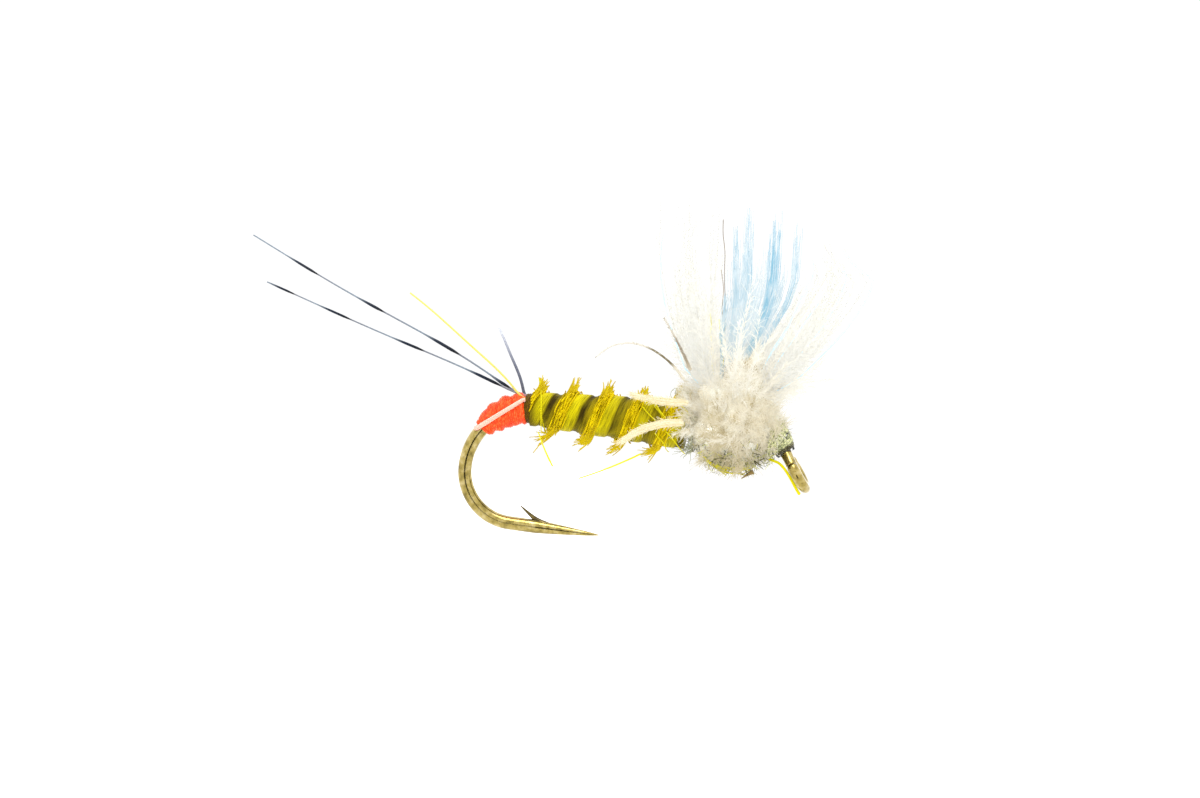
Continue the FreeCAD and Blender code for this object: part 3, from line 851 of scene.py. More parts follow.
def strip_point(turn, across, lift):
    """A point on the wound strip; turn counts from the body's rear end, lift is outwards."""
    x = body_low[0] + BIOT_PITCH * (turn + across - BIOT_LEAD)
    centre = np.stack([x, np.zeros_like(x), body_axis_z(x)], axis=-1)
    return centre + round_body(turn) * (body_radius(x) + lift)[..., None]


def make_biot():
    """The wound strip's skin, with its crowned flat, its dark groove and its fringe's ridge."""
    steps, sides = 340, 96
    x = np.linspace(body_low[0], body_high[0], steps)[:, None]
    turn = np.arange(sides) / sides
    phase = (x - body_low[0]) / BIOT_PITCH + BIOT_LEAD - turn
    across = phase % 1.0
    relief = np.interp(across, (0, 0.04, 0.20, 0.38, 0.46, 0.55, 0.62, 0.80, 0.90, 1.0),
                       (0.0, 0.012, 0.02, 0.012, -0.035, -0.03, 0.0, 0.015, 0.045, 0.0))
    flute_pitch = 0.055
    flutes = 0.010 * np.sin(TURN * (phase * BIOT_PITCH / flute_pitch)) * (across > 0.58)
    outer = body_radius(x) - 0.01 + relief + flutes
    out = round_body(turn)
    centre = np.stack([x, np.zeros_like(x), body_axis_z(x)], axis=-1)
    points, groups = shell(centre + out * outer[..., None],
                           centre + out * (body_radius(x) - 0.075)[..., None])
    # round_body turns the other way from rings_round, so the faces are turned over
    flip = [0, 3, 2, 1]
    groups = [(faces[:, flip], places[:, flip], tube) for faces, places, tube in groups]
    piece("biot_strip", (points, groups), biot_finish(), "body_biot", 70)


def leaving_fibres(rng, turn, across, sweep, reach, lift, lean=0.0):
    """Fibres that follow the strip for sweep turns, then leave it straight on for reach mm.

    sweep below zero runs the other way round the body. lean bends the tips towards the tail.
    """
    s = np.linspace(0, 1, 4)
    turns = turn[:, None] + sweep[:, None] * s
    rise = 0.075 * np.sqrt(s) - 0.03 + lift[:, None] * s ** 2
    lie = strip_point(turns, across[:, None], rise)
    way = unit(lie[:, -1] - lie[:, -2]) * reach[:, None]
    loose = rng.normal(size=way.shape) * (0.10 + 0.16 * lean)
    droop = (loose - X_AXIS * lean) * reach[:, None]
    free = np.linspace(0, 1, 6)[1:, None]
    tips = lie[:, -1:] + way[:, None] * free + droop[:, None] * free ** 2
    return np.concatenate([lie, tips], axis=1)


def make_fringe():
    """The strip's golden flues: most lie along the rib, and tufts of them stand off it."""
    rng = np.random.default_rng(21)
    last = (body_high[0] - body_low[0]) / BIOT_PITCH + BIOT_LEAD - RIB
    count = 900
    turn = rng.uniform(0.1, last - 0.1, count)
    across = RIB + rng.normal(size=count) * 0.085
    sweep = rng.uniform(0.06, 0.16, count) * rng.choice((-1, 1), count)
    lying = leaving_fibres(rng, turn, across, sweep, rng.uniform(0.03, 0.12, count),
                           rng.uniform(0.02, 0.06, count))
    tufts = []
    for whole in range(int(last) + 1):
        for angle, way, size, lean in TUFTS:
            leave = whole + angle + rng.normal() * 0.012
            if not 0.15 < leave < last:
                continue
            count = rng.integers(12, 20)
            across = RIB + rng.normal() * 0.03 + rng.normal(size=count) * 0.05
            sweep = way * rng.uniform(0.06, 0.17, count)
            reach = size * rng.uniform(0.8, 1.2) * rng.uniform(0.45, 1.1, count)
            tufts.append(leaving_fibres(rng, leave - sweep, across, sweep, reach,
                                        rng.uniform(0.04, 0.12, count), lean))
    golden = hair_finish("golden_flues", ((0, "9a8403"), (0.25, "cdb404"), (0.8, "e6d008"),
                                          (1, "b09803")), through=0.4)
    bright = hair_finish("bright_flues", ((0, "ab9204"), (0.4, "b59e05"), (1, "c3af0e")),
                         through=0.4)
    make_flues(rng, "biot_fringe", lying, golden, False)
    make_flues(rng, "biot_tufts", np.concatenate(tufts), bright, True)


def make_flues(rng, name, paths, material, airy):
    """Makes the flues that keep to the body's length."""
    along = paths[..., 0]
    paths = paths[(along.min(axis=1) > body_low[0] - 0.05) & (along.max(axis=1) < body_high[0])]
    ends = (rng.uniform(0.020, 0.036, len(paths)), 0.012, 1.4)
    hairs(name, paths, ends, rng, material, "body_biot", 4, airy)


# Stray flues across the near side of the body: where each starts and ends, in millimetres before
# the body's front end and above its axis.
CROSSING_FIBRES = (
    ((4.79, 1.02), (4.36, -0.80)), ((4.62, 0.50), (4.40, -0.62)), ((1.06, 0.56), (0.70, 0.16)),
    ((1.40, 0.47), (0.90, 0.05)), ((0.48, 0.80), (-0.05, 0.30)), ((0.56, -0.22), (-0.08, -0.84)),
    ((1.05, 0.62), (0.62, 0.20)), ((0.30, 0.45), (0.02, 0.02)), ((0.90, -0.30), (0.50, -0.86)),
)


def make_crossing_fibres():
    rng = np.random.default_rng(66)
    start, end = np.moveaxis(np.array(CROSSING_FIBRES), 1, 0)[:, :, None]
    before, rise = np.moveaxis(start + (end - start) * shares(12), -1, 0)
    x = body_high[0] - before
    clear = body_radius(x) + 0.09
    y = -np.sqrt(np.maximum(clear ** 2 - rise ** 2, 0.01))
    paths = np.stack([x, y, body_axis_z(x) + rise], axis=-1)
    paths = paths + wander(rng, len(paths), 12, 0.03, 3)
    hairs("crossing_fibres", paths, (0.024, 0.014), rng, yellow_hair,
          "body_biot", sides=5)


# ---- thorax

def make_thorax():
    """A rough lump of dubbing, with its loose fur standing off it, mostly underneath."""
    rng = np.random.default_rng(51)
    low, high = box("thorax_dubbing")
    middle, half = (low + high) / 2, (high - low) / 2
    way = sphere_ways(rng, 1500)
    way = way[way[:, 2] < rng.uniform(-0.7, 0.2, len(way))]
    lean = unit(way + rng.normal(size=way.shape) * 0.8)
    below = np.clip(0.3 - way[:, 2], 0, 1)[:, None, None]
    reach = rng.uniform(0.12, 0.40, below.shape) * (1 + 1.1 * below)
    paths = grow(rng, middle + way * half * 0.93, lean, reach, 6, 0.09, 2)
    from_ball = np.linalg.norm((paths - ball_centre) / (ball_radii * 1.06), axis=-1)
    hairs("thorax_fur", paths[(from_ball < 1).all(axis=1)], (0.014, 0.006), rng, olive_fur,
          "thorax_dubbing")
    piece("thorax_core", lumpy_ball(middle, half * 0.95, 48, 72), dubbing_core(),
          "thorax_dubbing")


def lumpy_ball(middle, half, rings, sides):
    """An uneven ball as a closed tube with small ends."""
    angle = np.linspace(0.04, math.pi - 0.04, rings)[:, None]
    path = middle - X_AXIS * half[0] * np.cos(angle)
    a = np.arange(sides) * TURN / sides
    bumps = 0.03 * np.sin(5 * a + 7 * angle) + 0.02 * np.sin(11 * a - 5 * angle)
    radius = np.sin(angle) * half[2] * (1 + bumps)
    return tubes(path[None], radius[None], sides)


def make_under_strands():
    """Long bright strands of the dubbing that show along the bottom of the ball."""
    rng = np.random.default_rng(53)
    count, steps = 9, 18
    first, last = rng.uniform(-0.60, -0.35, (count, 1)), rng.uniform(-0.1, 0.5, (count, 1))
    ahead = first + (last - first) * np.linspace(0, 1, steps)
    aside = np.broadcast_to(rng.uniform(-0.40, -0.05, (count, 1)), ahead.shape)
    below = -np.sqrt(1 - ahead ** 2 - aside ** 2)
    paths = ball_centre + ball_radii * np.stack([ahead, aside, below * 0.92], axis=-1)
    paths = paths + wander(rng, count, steps, 0.05, 4)
    hairs("thorax_strands", paths, (0.020, 0.014), rng, yellow_hair,
          "thorax_dubbing", sides=5)


def make_chip():
    """A brown chip of quill that hangs below the ball, under the head."""
    root = ball_centre + ball_radii * (0.44, -0.2, -0.84)
    path = smooth_curve([root, root + (-0.15, 0, -0.10), root + (-0.34, 0, -0.27)], 8)
    brown = hair_finish("quill", ("5e4b2c", "94804f"), through=0.1)
    hairs("thorax_chip", path[None], (0.085, 0.012), [0.5], brown,
          "thorax_dubbing", sides=8)


def body_front(rng, count, up, spread, ahead):
    """A point on the axis ahead of the body's front end, and random ways out from it.

    The ways are within spread (radians) of straight up, or of straight down with up at -1.
    """
    angle = rng.uniform(-spread, spread, count)
    out = up * np.stack([np.zeros(count), np.sin(angle), np.cos(angle)], axis=-1)
    return np.array([body_high[0] + ahead, 0, body_axis_z(body_high[0])]), out


def make_rear_fur():
    """Dubbing that creeps back over the body's front end, on its lower half."""
    rng = np.random.default_rng(52)
    start, out = body_front(rng, 80, -1, 2.3, 0.28)
    root = start + out * BODY_R[1] * rng.uniform(0.9, 1.05, (80, 1))
    way = unit(out * rng.uniform(-0.2, 0.5, (80, 1)) - X_AXIS * 0.8
               + rng.normal(size=out.shape) * 0.55)
    paths = grow(rng, root, way, rng.uniform(0.25, 0.65, (80, 1, 1)), 7, 0.08, 2)
    hairs("thorax_rear_fur", paths, (0.013, 0.006), rng, stray_fur,
          "thorax_dubbing")


def make_front_curls():
    """Curled fur on top of the body's front end."""
    rng = np.random.default_rng(67)
    count, steps = 16, 22
    size = rng.uniform(0.08, 0.20, (count, 1))
    turn = rng.uniform(0.6, 1.3, (count, 1)) * TURN * np.linspace(0, 1, steps)
    turn = turn + rng.uniform(0, TURN, (count, 1))
    x = body_high[0] - rng.uniform(0.02, 0.42, (count, 1)) + size * np.cos(turn)
    y = rng.uniform(-0.55, 0.25, (count, 1)) + 0.5 * size * np.sin(1.3 * turn)
    z = body_axis_z(x) + BODY_R[1] + 0.10 + size * (0.4 + np.sin(turn))
    hairs("front_curls", np.stack([x, y, z], axis=-1), (0.012, 0.008),
          rng.uniform(0.5, 1, count), stray_fur, "thorax_dubbing")


# ---- wing

FOOT_R = 0.22                 # half the width of a spray where it is tied in
FEET_APART = 0.45             # from the yarn's foot to each spray's


def fan_paths(node, foot, ways, end, steps):
    """Lines that flow up through a CAD fan from its foot, by its own cross-sections.

    ways (n, 2) are places across the fan, from -1 to 1; end (n,) is how high each line goes, as
    a share of the fan's height.
    """
    low, high = box(node)
    levels = np.linspace(0.12, 0.90, 8)
    cuts = np.array([section(node, 2, z) for z in low[2] + (high[2] - low[2]) * levels])
    centre, half = cuts.mean(axis=1), (cuts[:, 1] - cuts[:, 0]) / 2
    top = 2 * centre[-1] - centre[-2]
    top[2] = high[2]
    centre = np.concatenate([[foot], centre, [top]])
    half = np.concatenate([[(FOOT_R, FOOT_R, 0)], half, half[-1:]])
    levels = np.concatenate([[0.0], levels, [1.0]])
    share = end[:, None] * np.linspace(0, 1, steps)
    out = np.stack([np.interp(share, levels, centre[:, axis]) for axis in range(3)], axis=-1)
    for axis in range(2):
        out[..., axis] += np.interp(share, levels, half[:, axis]) * ways[:, axis, None]
    return out


# Streaks of yarn: place across and in depth (-1 to 1), width, highest share of the wing's
# height, filaments and depth of blue.
YARN_STREAKS = (
    (-0.93, -0.90, 0.050, 0.58, 34, 0.75), (-0.66, -0.30, 0.080, 0.88, 36, 0.60),
    (-0.38, -0.45, 0.110, 0.95, 44, 0.60), (0.36, -0.40, 0.120, 0.97, 60, 0.95),
    (0.18, 0.40, 0.110, 0.80, 24, 0.45), (0.62, -0.10, 0.090, 0.70, 26, 0.55),
    (0.88, -0.30, 0.080, 0.93, 28, 0.65), (-0.10, 0.55, 0.120, 0.72, 22, 0.35),
    (-0.70, 0.65, 0.120, 0.66, 22, 0.35), (0.02, -0.20, 0.110, 0.62, 26, 0.55),
)
YARN_WASH = (0.92, 0.74, 240)  # spread, height share and filaments of the pale yarn between them


def make_yarn():
    """The post of blue yarn: crinkled filaments that part into pale streaks."""
    rng = np.random.default_rng(31)
    foot = np.array([post_x, 0, box("wing_yarn")[0][2]])
    steps = 22
    groups, tints = [], []
    for across, depth, width, top, count, tint in YARN_STREAKS:
        ways = (across, depth) + disc(rng, count) * width * (1.0, 3.0)
        tops = np.minimum(top * rng.uniform(0.80, 1.02, count), 1.0)
        crinkle = wander(rng, 1, steps, 0.05, 6) + wander(rng, count, steps, 0.028, 8)
        groups.append(fan_paths("wing_yarn", foot, ways, tops, steps) + crinkle)
        tints.append(rng.normal(tint, 0.12, count))
    hairs("wing_yarn_filaments", np.concatenate(groups), (0.012, 0.006, 2.0),
          np.clip(np.concatenate(tints), 0, 1), blue_yarn, "wing_yarn", 4, True)
    spread, top, count = YARN_WASH
    ways = disc(rng, count) * (spread, 0.9) - (0.05, 0)
    tops = top * rng.uniform(0.45, 1.0, count)
    paths = fan_paths("wing_yarn", foot, ways, tops, steps) + wander(rng, count, steps, 0.05, 7)
    hairs("wing_yarn_wash", paths, (0.013, 0.008, 2.0), rng.uniform(0, 0.5, count), blue_yarn,
          "wing_yarn", 4, True)


# Blue filaments that stray into the down: the spray, place across and height share.
YARN_STRAYS = (
    ("wing_down_rear", -0.95, 0.84), ("wing_down_front", -0.55, 0.90),
    ("wing_down_front", -0.15, 0.66), ("wing_down_front", 0.30, 0.94),
    ("wing_down_front", 0.95, 0.96),
)


def make_yarn_strays(foot):
    rng = np.random.default_rng(34)
    steps, each = 20, 3
    groups = []
    for node, across, top in YARN_STRAYS:
        ways = (across, -0.45) + disc(rng, each) * (0.035, 0.06)
        tops = top * rng.uniform(0.86, 1.0, each)
        groups.append(fan_paths(node, foot, ways, tops, steps)
                      + wander(rng, 1, steps, 0.05, 5) + wander(rng, each, steps, 0.015, 6))
    paths = np.concatenate(groups)
    hairs("wing_yarn_strays", paths, (0.006, 0.008), rng.uniform(0.2, 0.6, len(paths)),
          stray_yarn, "wing_yarn", 4, True)


def make_wing_specks(foot):
    """The few brown and yellow fibres that stand in the rear spray, beside the yarn."""
    rng = np.random.default_rng(35)
    ways = np.array([(1.02, -0.5), (0.92, -0.4), (0.55, -0.6), (0.80, -0.5)])
    tops = np.array([0.99, 0.66, 0.45, 0.40])
    paths = fan_paths("wing_down_rear", foot, ways, tops, 40) + wander(rng, 4, 40, 0.07, 9)
    specks = hair_finish("wing_specks", ((0, "8a7d6e"), (0.45, "b0a493"), (0.55, "d6d07a"),
                                         (1, "e2dc6a")), through=0.3)
    hairs("wing_specks", paths, (0.009, 0.012), [0.0, 0.2, 0.8, 1.0], specks,
          "wing_down_rear", sides=4)


def make_wing_down(node, name, seed, foot):
    """A spray of down beside the yarn: stems with soft barbules."""
    rng = np.random.default_rng(seed)
    count, steps = 64, 16
    ways = disc(rng, count, 0.6)
    end = 0.20 + 0.80 * rng.uniform(0, 1, count) ** 1.1
    stems = fan_paths(node, foot, ways * 0.94, end, steps) + wander(rng, count, steps, 0.12, 3)
    barbules = feather(rng, stems, 60, 0.8, (0.2, 0.9), 5, 0.05, 0.35)
    hairs(name + "_barbules", barbules, (0.0085, 0.004), rng, pale_down, node,
          airy=True)
    hairs(name + "_stems", stems, (0.012, 0.005), rng, pale_stem, node, sides=4)


# ---- ball of down

def plumes(rng, name, stems, barbules, length, lean, tint, root_r=0.0095):
    """Stems with barbules, where each plume keeps near its own tint (n,)."""
    paths = feather(rng, stems, barbules, length, lean, 6, 0.03, 0.4)
    shade = np.repeat(tint, barbules) + rng.normal(size=len(paths)) * 0.07
    hairs(name + "_barbules", paths, (root_r, 0.004), np.clip(shade, 0, 1), cream_down,
          "hackle_collar", airy=True)
    hairs(name + "_stems", stems, (0.012, 0.005), np.clip(tint, 0, 1), cream_down,
          "hackle_collar", sides=4)


def make_collar():
    """The ball of down: plumes that curl over the dubbing, thin underneath."""
    rng = np.random.default_rng(41)
    way = sphere_ways(rng, 420)
    way = way[way[:, 2] > rng.uniform(-1.3, -0.35, len(way))]
    count = len(way)
    lay = unit(rng.normal(size=(count, 3)) * 0.55 + (-0.55, 0, 0.45))
    t = shares(14)
    swirl = rng.normal(size=(count, 1, 3)) * 0.45
    direction = unit(way[:, None] + lay[:, None] * t * 0.9 + swirl * t ** 2)
    inner, top = 0.62, rng.uniform(0.78, 1.04, (count, 1, 1))
    stems = ball_centre + direction * ball_radii * (inner + (top - inner) * t ** 0.7)
    spots, strength = sphere_ways(rng, 34), rng.normal(size=34) * 0.34
    patch = np.exp((way @ spots.T - 1) / 0.045) @ strength
    tint = 0.56 + 0.28 * way[:, 2] + patch + rng.normal(size=count) * 0.06
    half = count // 2
    for part, chosen in (("hackle_inner", slice(0, half)), ("hackle_outer", slice(half, count))):
        plumes(rng, part, stems[chosen], 70, 0.42, (0.2, 0.9), tint[chosen])
    make_mat(rng)
    make_wing_base(rng)
    make_rear_rim(rng)


def make_mat(rng):
    """The matted down under the plumes: a lumpy mass that narrows up round the wing's foot."""
    rings, sides = 90, 120
    bottom, top = -0.72, 1.75            # in the ball's own half heights
    low, high = ball_centre[2] + bottom * ball_radii[2], ball_centre[2] + top * ball_radii[2]
    z = np.linspace(low, high, rings)
    height = (z - ball_centre[2]) / ball_radii[2]
    wide = np.interp(height, (bottom, -0.6, -0.3, 0.2, 0.6, 0.9, 1.2, 1.5, 1.70, top),
                     (0.02, 0.46, 0.72, 0.80, 0.70, 0.54, 0.38, 0.22, 0.10, 0.02))
    shift = np.interp(height, (-0.3, 0.4, top), (-0.10, -0.04, 0.16))
    path = np.stack([ball_centre[0] + shift * ball_radii[0], np.zeros(rings), z], axis=-1)
    angle = np.arange(sides) * TURN / sides
    lumps = np.zeros((rings, sides))
    for _ in range(220):
        at, place, size = rng.uniform(0, TURN), rng.uniform(low, high), rng.uniform(0.12, 0.34)
        turned = np.abs((angle - at + math.pi) % TURN - math.pi) * wide.max() * ball_radii[0]
        far = np.hypot(turned, z[:, None] - place)
        lumps += rng.normal() * 0.11 * size / 0.25 * np.exp(-(far / size) ** 2)
    outer = wide[:, None] * ball_radii[0] * (1 + 0.9 * np.clip(lumps, -0.25, 0.25))
    piece("hackle_mat", tubes(path[None], outer[None], sides), mat_finish(),
          "hackle_collar")


def make_wing_base(rng):
    """Plumes that rise from the ball round the wing's foot and hide it."""
    count, steps = 170, 12
    x, y = disc(rng, count, 0.6).T
    root = ball_centre + ball_radii * np.stack([x * 0.66, y * 0.66, np.full(count, 0.50)], -1)
    outward = unit(np.stack([x * 0.95 + 0.05, y * 0.4, np.ones(count)], -1))
    rise = 0.7 + 2.1 * rng.uniform(0, 1, (count, 1, 1)) ** 1.6
    t = shares(steps)
    bow = rng.normal(size=(count, 1, 3)) * 0.28 * t ** 2
    stems = root[:, None] + (outward[:, None] * t + bow) * rise
    stems = stems + wander(rng, count, steps, 0.06, 3)
    tint = 0.80 + 0.10 * rise[:, 0, 0] + rng.normal(size=count) * 0.12
    plumes(rng, "wing_base", stems, 60, 0.5, (0.2, 0.9), tint, 0.0085)


def make_rear_rim(rng):
    """Plumes at the ball's rear rim, which lap back over the end of the body."""
    start, out = body_front(rng, 80, 1, 1.9, 0.30)
    way = unit(out * rng.uniform(0.2, 1.0, (80, 1)) + (-1.0, 0, 0.1))
    reach = rng.uniform(0.3, 0.75, (80, 1, 1))
    stems = grow(rng, start + out * BODY_R[1] * 1.03, way, reach, 10, 0.08, 3)
    tint = rng.normal(size=80) * 0.2 + 0.60
    plumes(rng, "hackle_rim", stems, 40, 0.3, (0.15, 0.8), tint)


# ---- single barbs and fibres

def make_strand(node, name, material, root_r, tip_r, run_on=0.0):
    """A single barb along its CAD strand; run_on lengthens its last end by so many mm."""
    path = centreline(node, 40)
    if run_on:
        end = path[-1] + unit(path[-1] - path[-3]) * run_on
        path = resample(np.concatenate([path, [end]]), len(path))
    hairs(name, path[None], (root_r, tip_r), [0.5], material, node, 8, True)
    return path


def make_dark_barb(node, name, tips, root_r, tip_r, seed, barbules, length):
    """A pale barb with a dark stretch that tips gives, and short barbules along it."""
    material = hair_finish(node.removeprefix("dark_barb_") + "_barb",
                           ("dedad2", "d6d1c7", "eeebe4"), tips, 0.2)
    path = make_strand(node, name, material, root_r, tip_r)
    rng = np.random.default_rng(seed)
    paths = feather(rng, path[None], barbules, length, (0.2, 0.6), 5, 0.02, 0.3)
    hairs(name + "_barbules", paths, (0.010, 0.005), rng, material, node, airy=True)


def make_downy_barb(node, name, spread, seed):
    """A soft barb: a twist of fine filaments along its CAD strand, with fuzz off them."""
    rng = np.random.default_rng(seed)
    steps = 24
    full = np.sin(np.linspace(0.9, 2.9, steps))[:, None]
    paths = bundle(rng, centreline(node, steps), 34, spread * full, 0.02)
    fuzz = feather(rng, paths, 22, 0.20, (0.1, 0.6), 6, 0.02, 0.4)
    hairs(name, paths, (0.017, 0.010), rng, warm_down, node, 4, True)
    hairs(name + "_fuzz", fuzz, (0.009, 0.005), rng, warm_down, node, airy=True)


# ---- head

def neck_path(share, count):
    """Points from the shank's end down the turned neck, for a share of the way to the ring."""
    bend, _, neck_end = neck_turn(20)
    end = eye_centre - eye_way * (eye_ring_r + EYE_WIRE_R)
    whole = resample(np.concatenate([bend, np.linspace(neck_end, end, 6)[1:]]), 200)
    return resample(whole[:int(share * 199) + 1], count)


def make_head_hairs():
    """Ends of fur trapped under the head's turns."""
    rng = np.random.default_rng(71)
    count = 90
    spot = neck_path(0.5, 30)[rng.integers(0, 30, count)]
    angle = rng.uniform(0, TURN, count)
    out = np.stack([0.25 * np.sin(angle), np.cos(angle), np.sin(angle)], axis=-1)
    way = unit(out * 0.9 - X_AXIS * 0.5 + rng.normal(size=out.shape) * 0.5)
    paths = grow(rng, spot + unit(out) * 0.50, way, rng.uniform(0.15, 0.42, (count, 1, 1)),
                 7, 0.05, 2)
    fur = hair_finish("head_hairs", ("4f5430", "a7ab52", "d9dc4a"), through=0.4)
    hairs("head_hairs", paths, (0.011, 0.005), rng, fur, "head_wraps")


def make_head():
    path = neck_path(0.84, 120)
    profile = np.interp(np.linspace(0, 1, len(path)), (0, 0.25, 0.5, 0.8, 1.0),
                        (0.64, 0.60, 0.50, 0.38, 0.31))
    wound("head_thread", "head_wraps whip_finish", head_finish(), path,
          profile[:, None] - 0.015, (64, 0.062, 0.022), wire_r + 0.005, sharp_deg=70)


def make_post_wraps():
    path = np.linspace((post_x, 0, post_low[2]), (post_x, 0, post_high[2]), 40)
    wound("wing_post_thread", "wing_post_wraps", olive_thread, path,
          post_high[1] - THREAD_RIDGE, (40, FINE_PITCH, THREAD_RIDGE), post_high[1] - 0.10)


# ---- stage

FILL, FILL_SEEN = 2.0, 1.05   # how bright the surroundings light the fly, and look to the camera
KEY_PLACE = (-12, -48, 104)
KEY_SIZE = 60
KEY_WATTS = 0.06
LENS = 100.0
SENSOR = 36.0
PICTURE_WIDTH = 1.896         # in lengths of the fly
AIM_SHIFT = (0.092, -0.098)   # from the fly's middle, in its lengths and heights
ROLL, AZIMUTH, ELEVATION = np.radians((7.2, 6.0, 4.0))


def stage_sheet(name, corners, grain, *shades):
    """A flat stage piece with corners in millimetres, of paper with a grain of a size."""
    mesh = bpy.data.meshes.new(name)
    mesh.from_pydata(np.array(corners) * MM, [], [range(len(corners))])
    sheet = link(name, mesh)
    finish = Finish(name, 0.9)
    speck = finish.noise(finish.place(), grain)
    mesh.materials.append(finish.done(finish.ramp(speck, *zip((0.0, 1.0), shades))))
    return sheet


def make_floor():
    """A plain pale floor, far enough below the fly that it hides no part of the dark card."""
    reach, drop = 600.0, 60.0
    low, high = np.array(CAD_BOX) / MM
    x, y, _ = (low + high) / 2
    stage_sheet("floor", [(x + dx * reach, y + dy * reach, low[2] - drop)
                          for dx, dy in ((-1, -1), (1, -1), (1, 1), (-1, 1))],
                40, "f4f4f2", "fbfbfa")


def make_light():
    """White surroundings that fill from all round, and a large soft lamp high over the fly.

    The camera sees the surroundings less bright than the fly is lit by them.
    """
    world = bpy.data.worlds.new("studio")
    bpy.context.scene.world = world
    world.use_nodes = True
    tree = world.node_tree
    back = tree.nodes["Background"]
    back.inputs["Color"].default_value = (1, 1, 1, 1)
    level = tree.nodes.new("ShaderNodeMix")
    level.data_type = "FLOAT"
    level.inputs["A"].default_value = FILL
    level.inputs["B"].default_value = FILL_SEEN
    seen = tree.nodes.new("ShaderNodeLightPath")
    tree.links.new(seen.outputs["Is Camera Ray"], level.inputs["Factor"])
    tree.links.new(level.outputs[0], back.inputs["Strength"])
    lamp = bpy.data.lights.new("key", "AREA")
    lamp.shape = "DISK"
    lamp.size = KEY_SIZE * MM
    lamp.energy = KEY_WATTS
    key = link("key", lamp)
    key.location = Vector(KEY_PLACE) * MM
    key.rotation_mode = "QUATERNION"
    key.rotation_quaternion = (-key.location).to_track_quat("-Z", "Y")


def make_camera():
    """The camera looks at the fly's left side, rolled so that the fly hangs nose-down."""
    low, high = np.array(CAD_BOX) / MM
    size = high - low
    middle = (low + high) / 2
    aim = np.array([middle[0] + AIM_SHIFT[0] * size[0], 0, middle[2] + AIM_SHIFT[1] * size[2]])
    level = np.array([math.cos(ROLL), 0, math.sin(ROLL)])
    upright = np.array([-math.sin(ROLL), 0, math.cos(ROLL)])
    ahead = Y_AXIS * math.cos(AZIMUTH) - level * math.sin(AZIMUTH)
    back = upright * math.sin(ELEVATION) - ahead * math.cos(ELEVATION)
    right = level * math.cos(AZIMUTH) + Y_AXIS * math.sin(AZIMUTH)
    lens = bpy.data.cameras.new("camera")
    lens.lens = LENS
    lens.sensor_width = SENSOR
    lens.clip_start, lens.clip_end = 0.001, 5.0
    distance = PICTURE_WIDTH * size[0] * LENS / SENSOR
    place = np.eye(4)
    place[:3] = np.stack([right, np.cross(back, right), back, (aim + back * distance) * MM], 1)
    camera = link("camera", lens)
    camera.matrix_world = Matrix(place)
    bpy.context.scene.camera = camera
    return camera


def make_dark_card(camera):
    """The dark front of the camera, seen only in reflections: it draws the wire's dark line."""
    radius, x, y = 27.0, -5.5, -29.0
    card = stage_sheet("dark_card", [(x + radius * math.cos(a), y + radius * math.sin(a), 10)
                                     for a in np.linspace(0, TURN, 33)[:-1]],
                       10, "150f06", "1c150b")
    card.parent = camera
    card.visible_camera = False
    card.visible_diffuse = False
    card.visible_shadow = False
    card.visible_transmission = False


# ---- shared materials, then the pieces

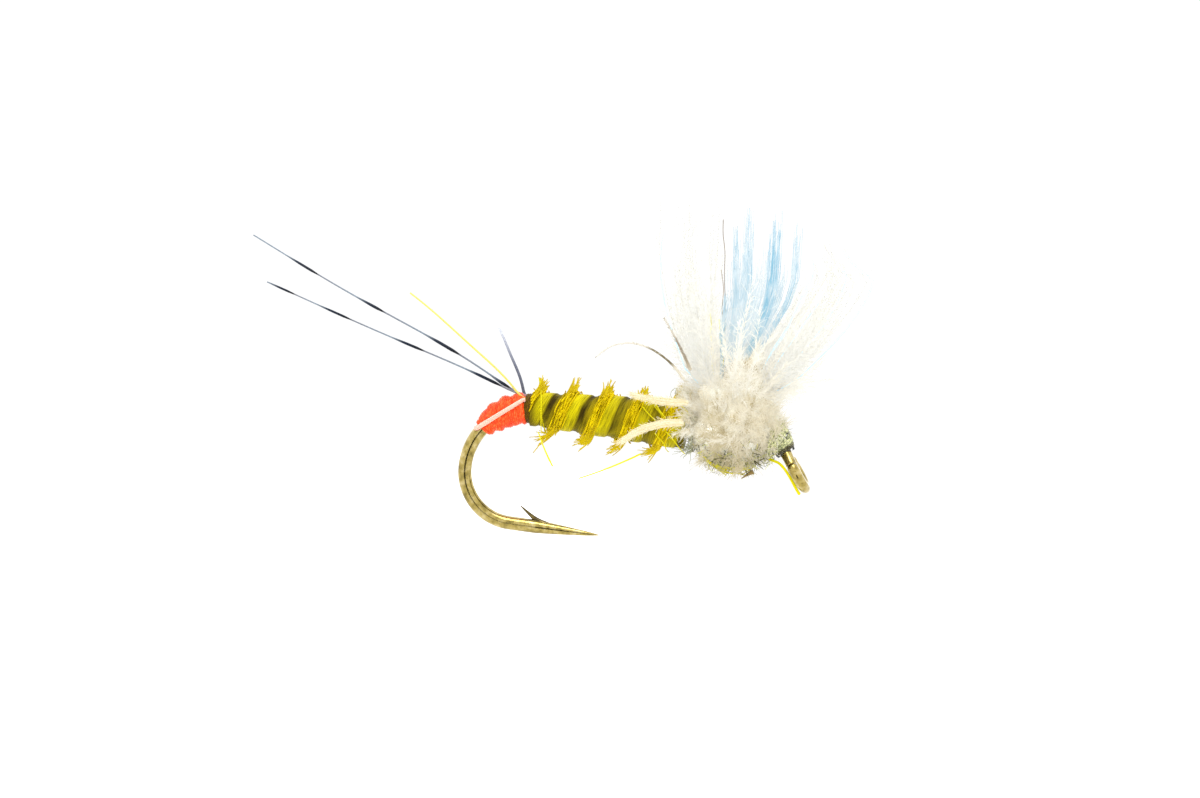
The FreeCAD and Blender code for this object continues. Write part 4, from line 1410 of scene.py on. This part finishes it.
olive_thread = thread("olive_thread", "4d4e38", "8b8c68", "6c6d4c")
yellow_hair = hair_finish("yellow_fibre", ("bdb204", "d8ce18"), through=0.3)
blue_yarn = yarn_finish()
stray_yarn = plain_fibre("stray_yarn", "afd9ef", "b7e1f3")
stray_fur = plain_fibre("stray_fur", "8a8c6f", "929475")
olive_fur = hair_finish("olive_dubbing", ((0, "1f2112"), (0.3, "4b4c2a"), (0.55, "83833f"),
                                          (0.8, "b5b26a"), (1, "e0df1c")), through=0.3)
pale_down = hair_finish("pale_down", ("c9c9c2", "d4d4d0", "cecbc0"), roughness=0.7)
pale_stem = hair_finish("pale_stem", ((0, "d6d6d2"), (0.85, "d2d0c8"), (1, "ccc7bb")),
                        roughness=0.6)
cream_down = hair_finish("cream_down", ("a5966f", "bfb394", "d0c8b2", "d9d4c5", "e0ded5"),
                         through=0.45, roughness=0.7)
warm_down = hair_finish("warm_down", ("cdbd84", "d6c9a4", "dfd8c0"), roughness=0.7)

make_hook()
make_thread_base()
make_butt()
make_tie_in()
make_underbody()
make_splitting_strand()
make_tails()
make_biot()
make_fringe()
make_thorax()
make_under_strands()
make_chip()
make_rear_fur()
make_post_wraps()
make_yarn()
post_foot = np.array([post_x, 0, post_high[2]])
rear_foot = post_foot - X_AXIS * FEET_APART
make_wing_down("wing_down_rear", "down_rear", 32, rear_foot)
make_wing_down("wing_down_front", "down_front", 33, post_foot + X_AXIS * FEET_APART)
make_yarn_strays(post_foot)
make_wing_specks(rear_foot)
make_collar()
make_crossing_fibres()
make_front_curls()
make_downy_barb("trailing_barb_upper", "trailing_upper", 0.10, 62)
make_downy_barb("trailing_barb_lower", "trailing_lower", 0.12, 63)
make_dark_barb("dark_barb_swept", "dark_swept",
               ((0, "e6e3da"), (0.14, "dad6cb"), (0.20, "776f58"), (0.42, "857e68"),
                (0.50, "dedcd6"), (1, "e2e1de")), 0.040, 0.016, 64, 90, 0.16)
make_dark_barb("dark_barb_upright", "dark_upright",
               ((0, "cfc9bb"), (0.20, "a0988a"), (0.55, "978f83"), (0.72, "cbc7bf"),
                (1, "dddbd8")), 0.050, 0.018, 65, 110, 0.18)
make_strand("loose_fibre_front", "loose_front", yellow_hair, 0.026, 0.018)
make_strand("loose_fibre_rear", "loose_rear", yellow_hair, 0.026, 0.018)
make_strand("thread_tag", "thread_end", yellow_hair, 0.046, 0.040, 0.3)
make_head()
make_head_hairs()
skin = frame["nodes"]["head_cement"]
for place in skin.material_slots:
    place.material = cement()

make_floor()
make_light()
make_dark_card(make_camera())
bpy.context.scene.view_settings.view_transform = "Standard"
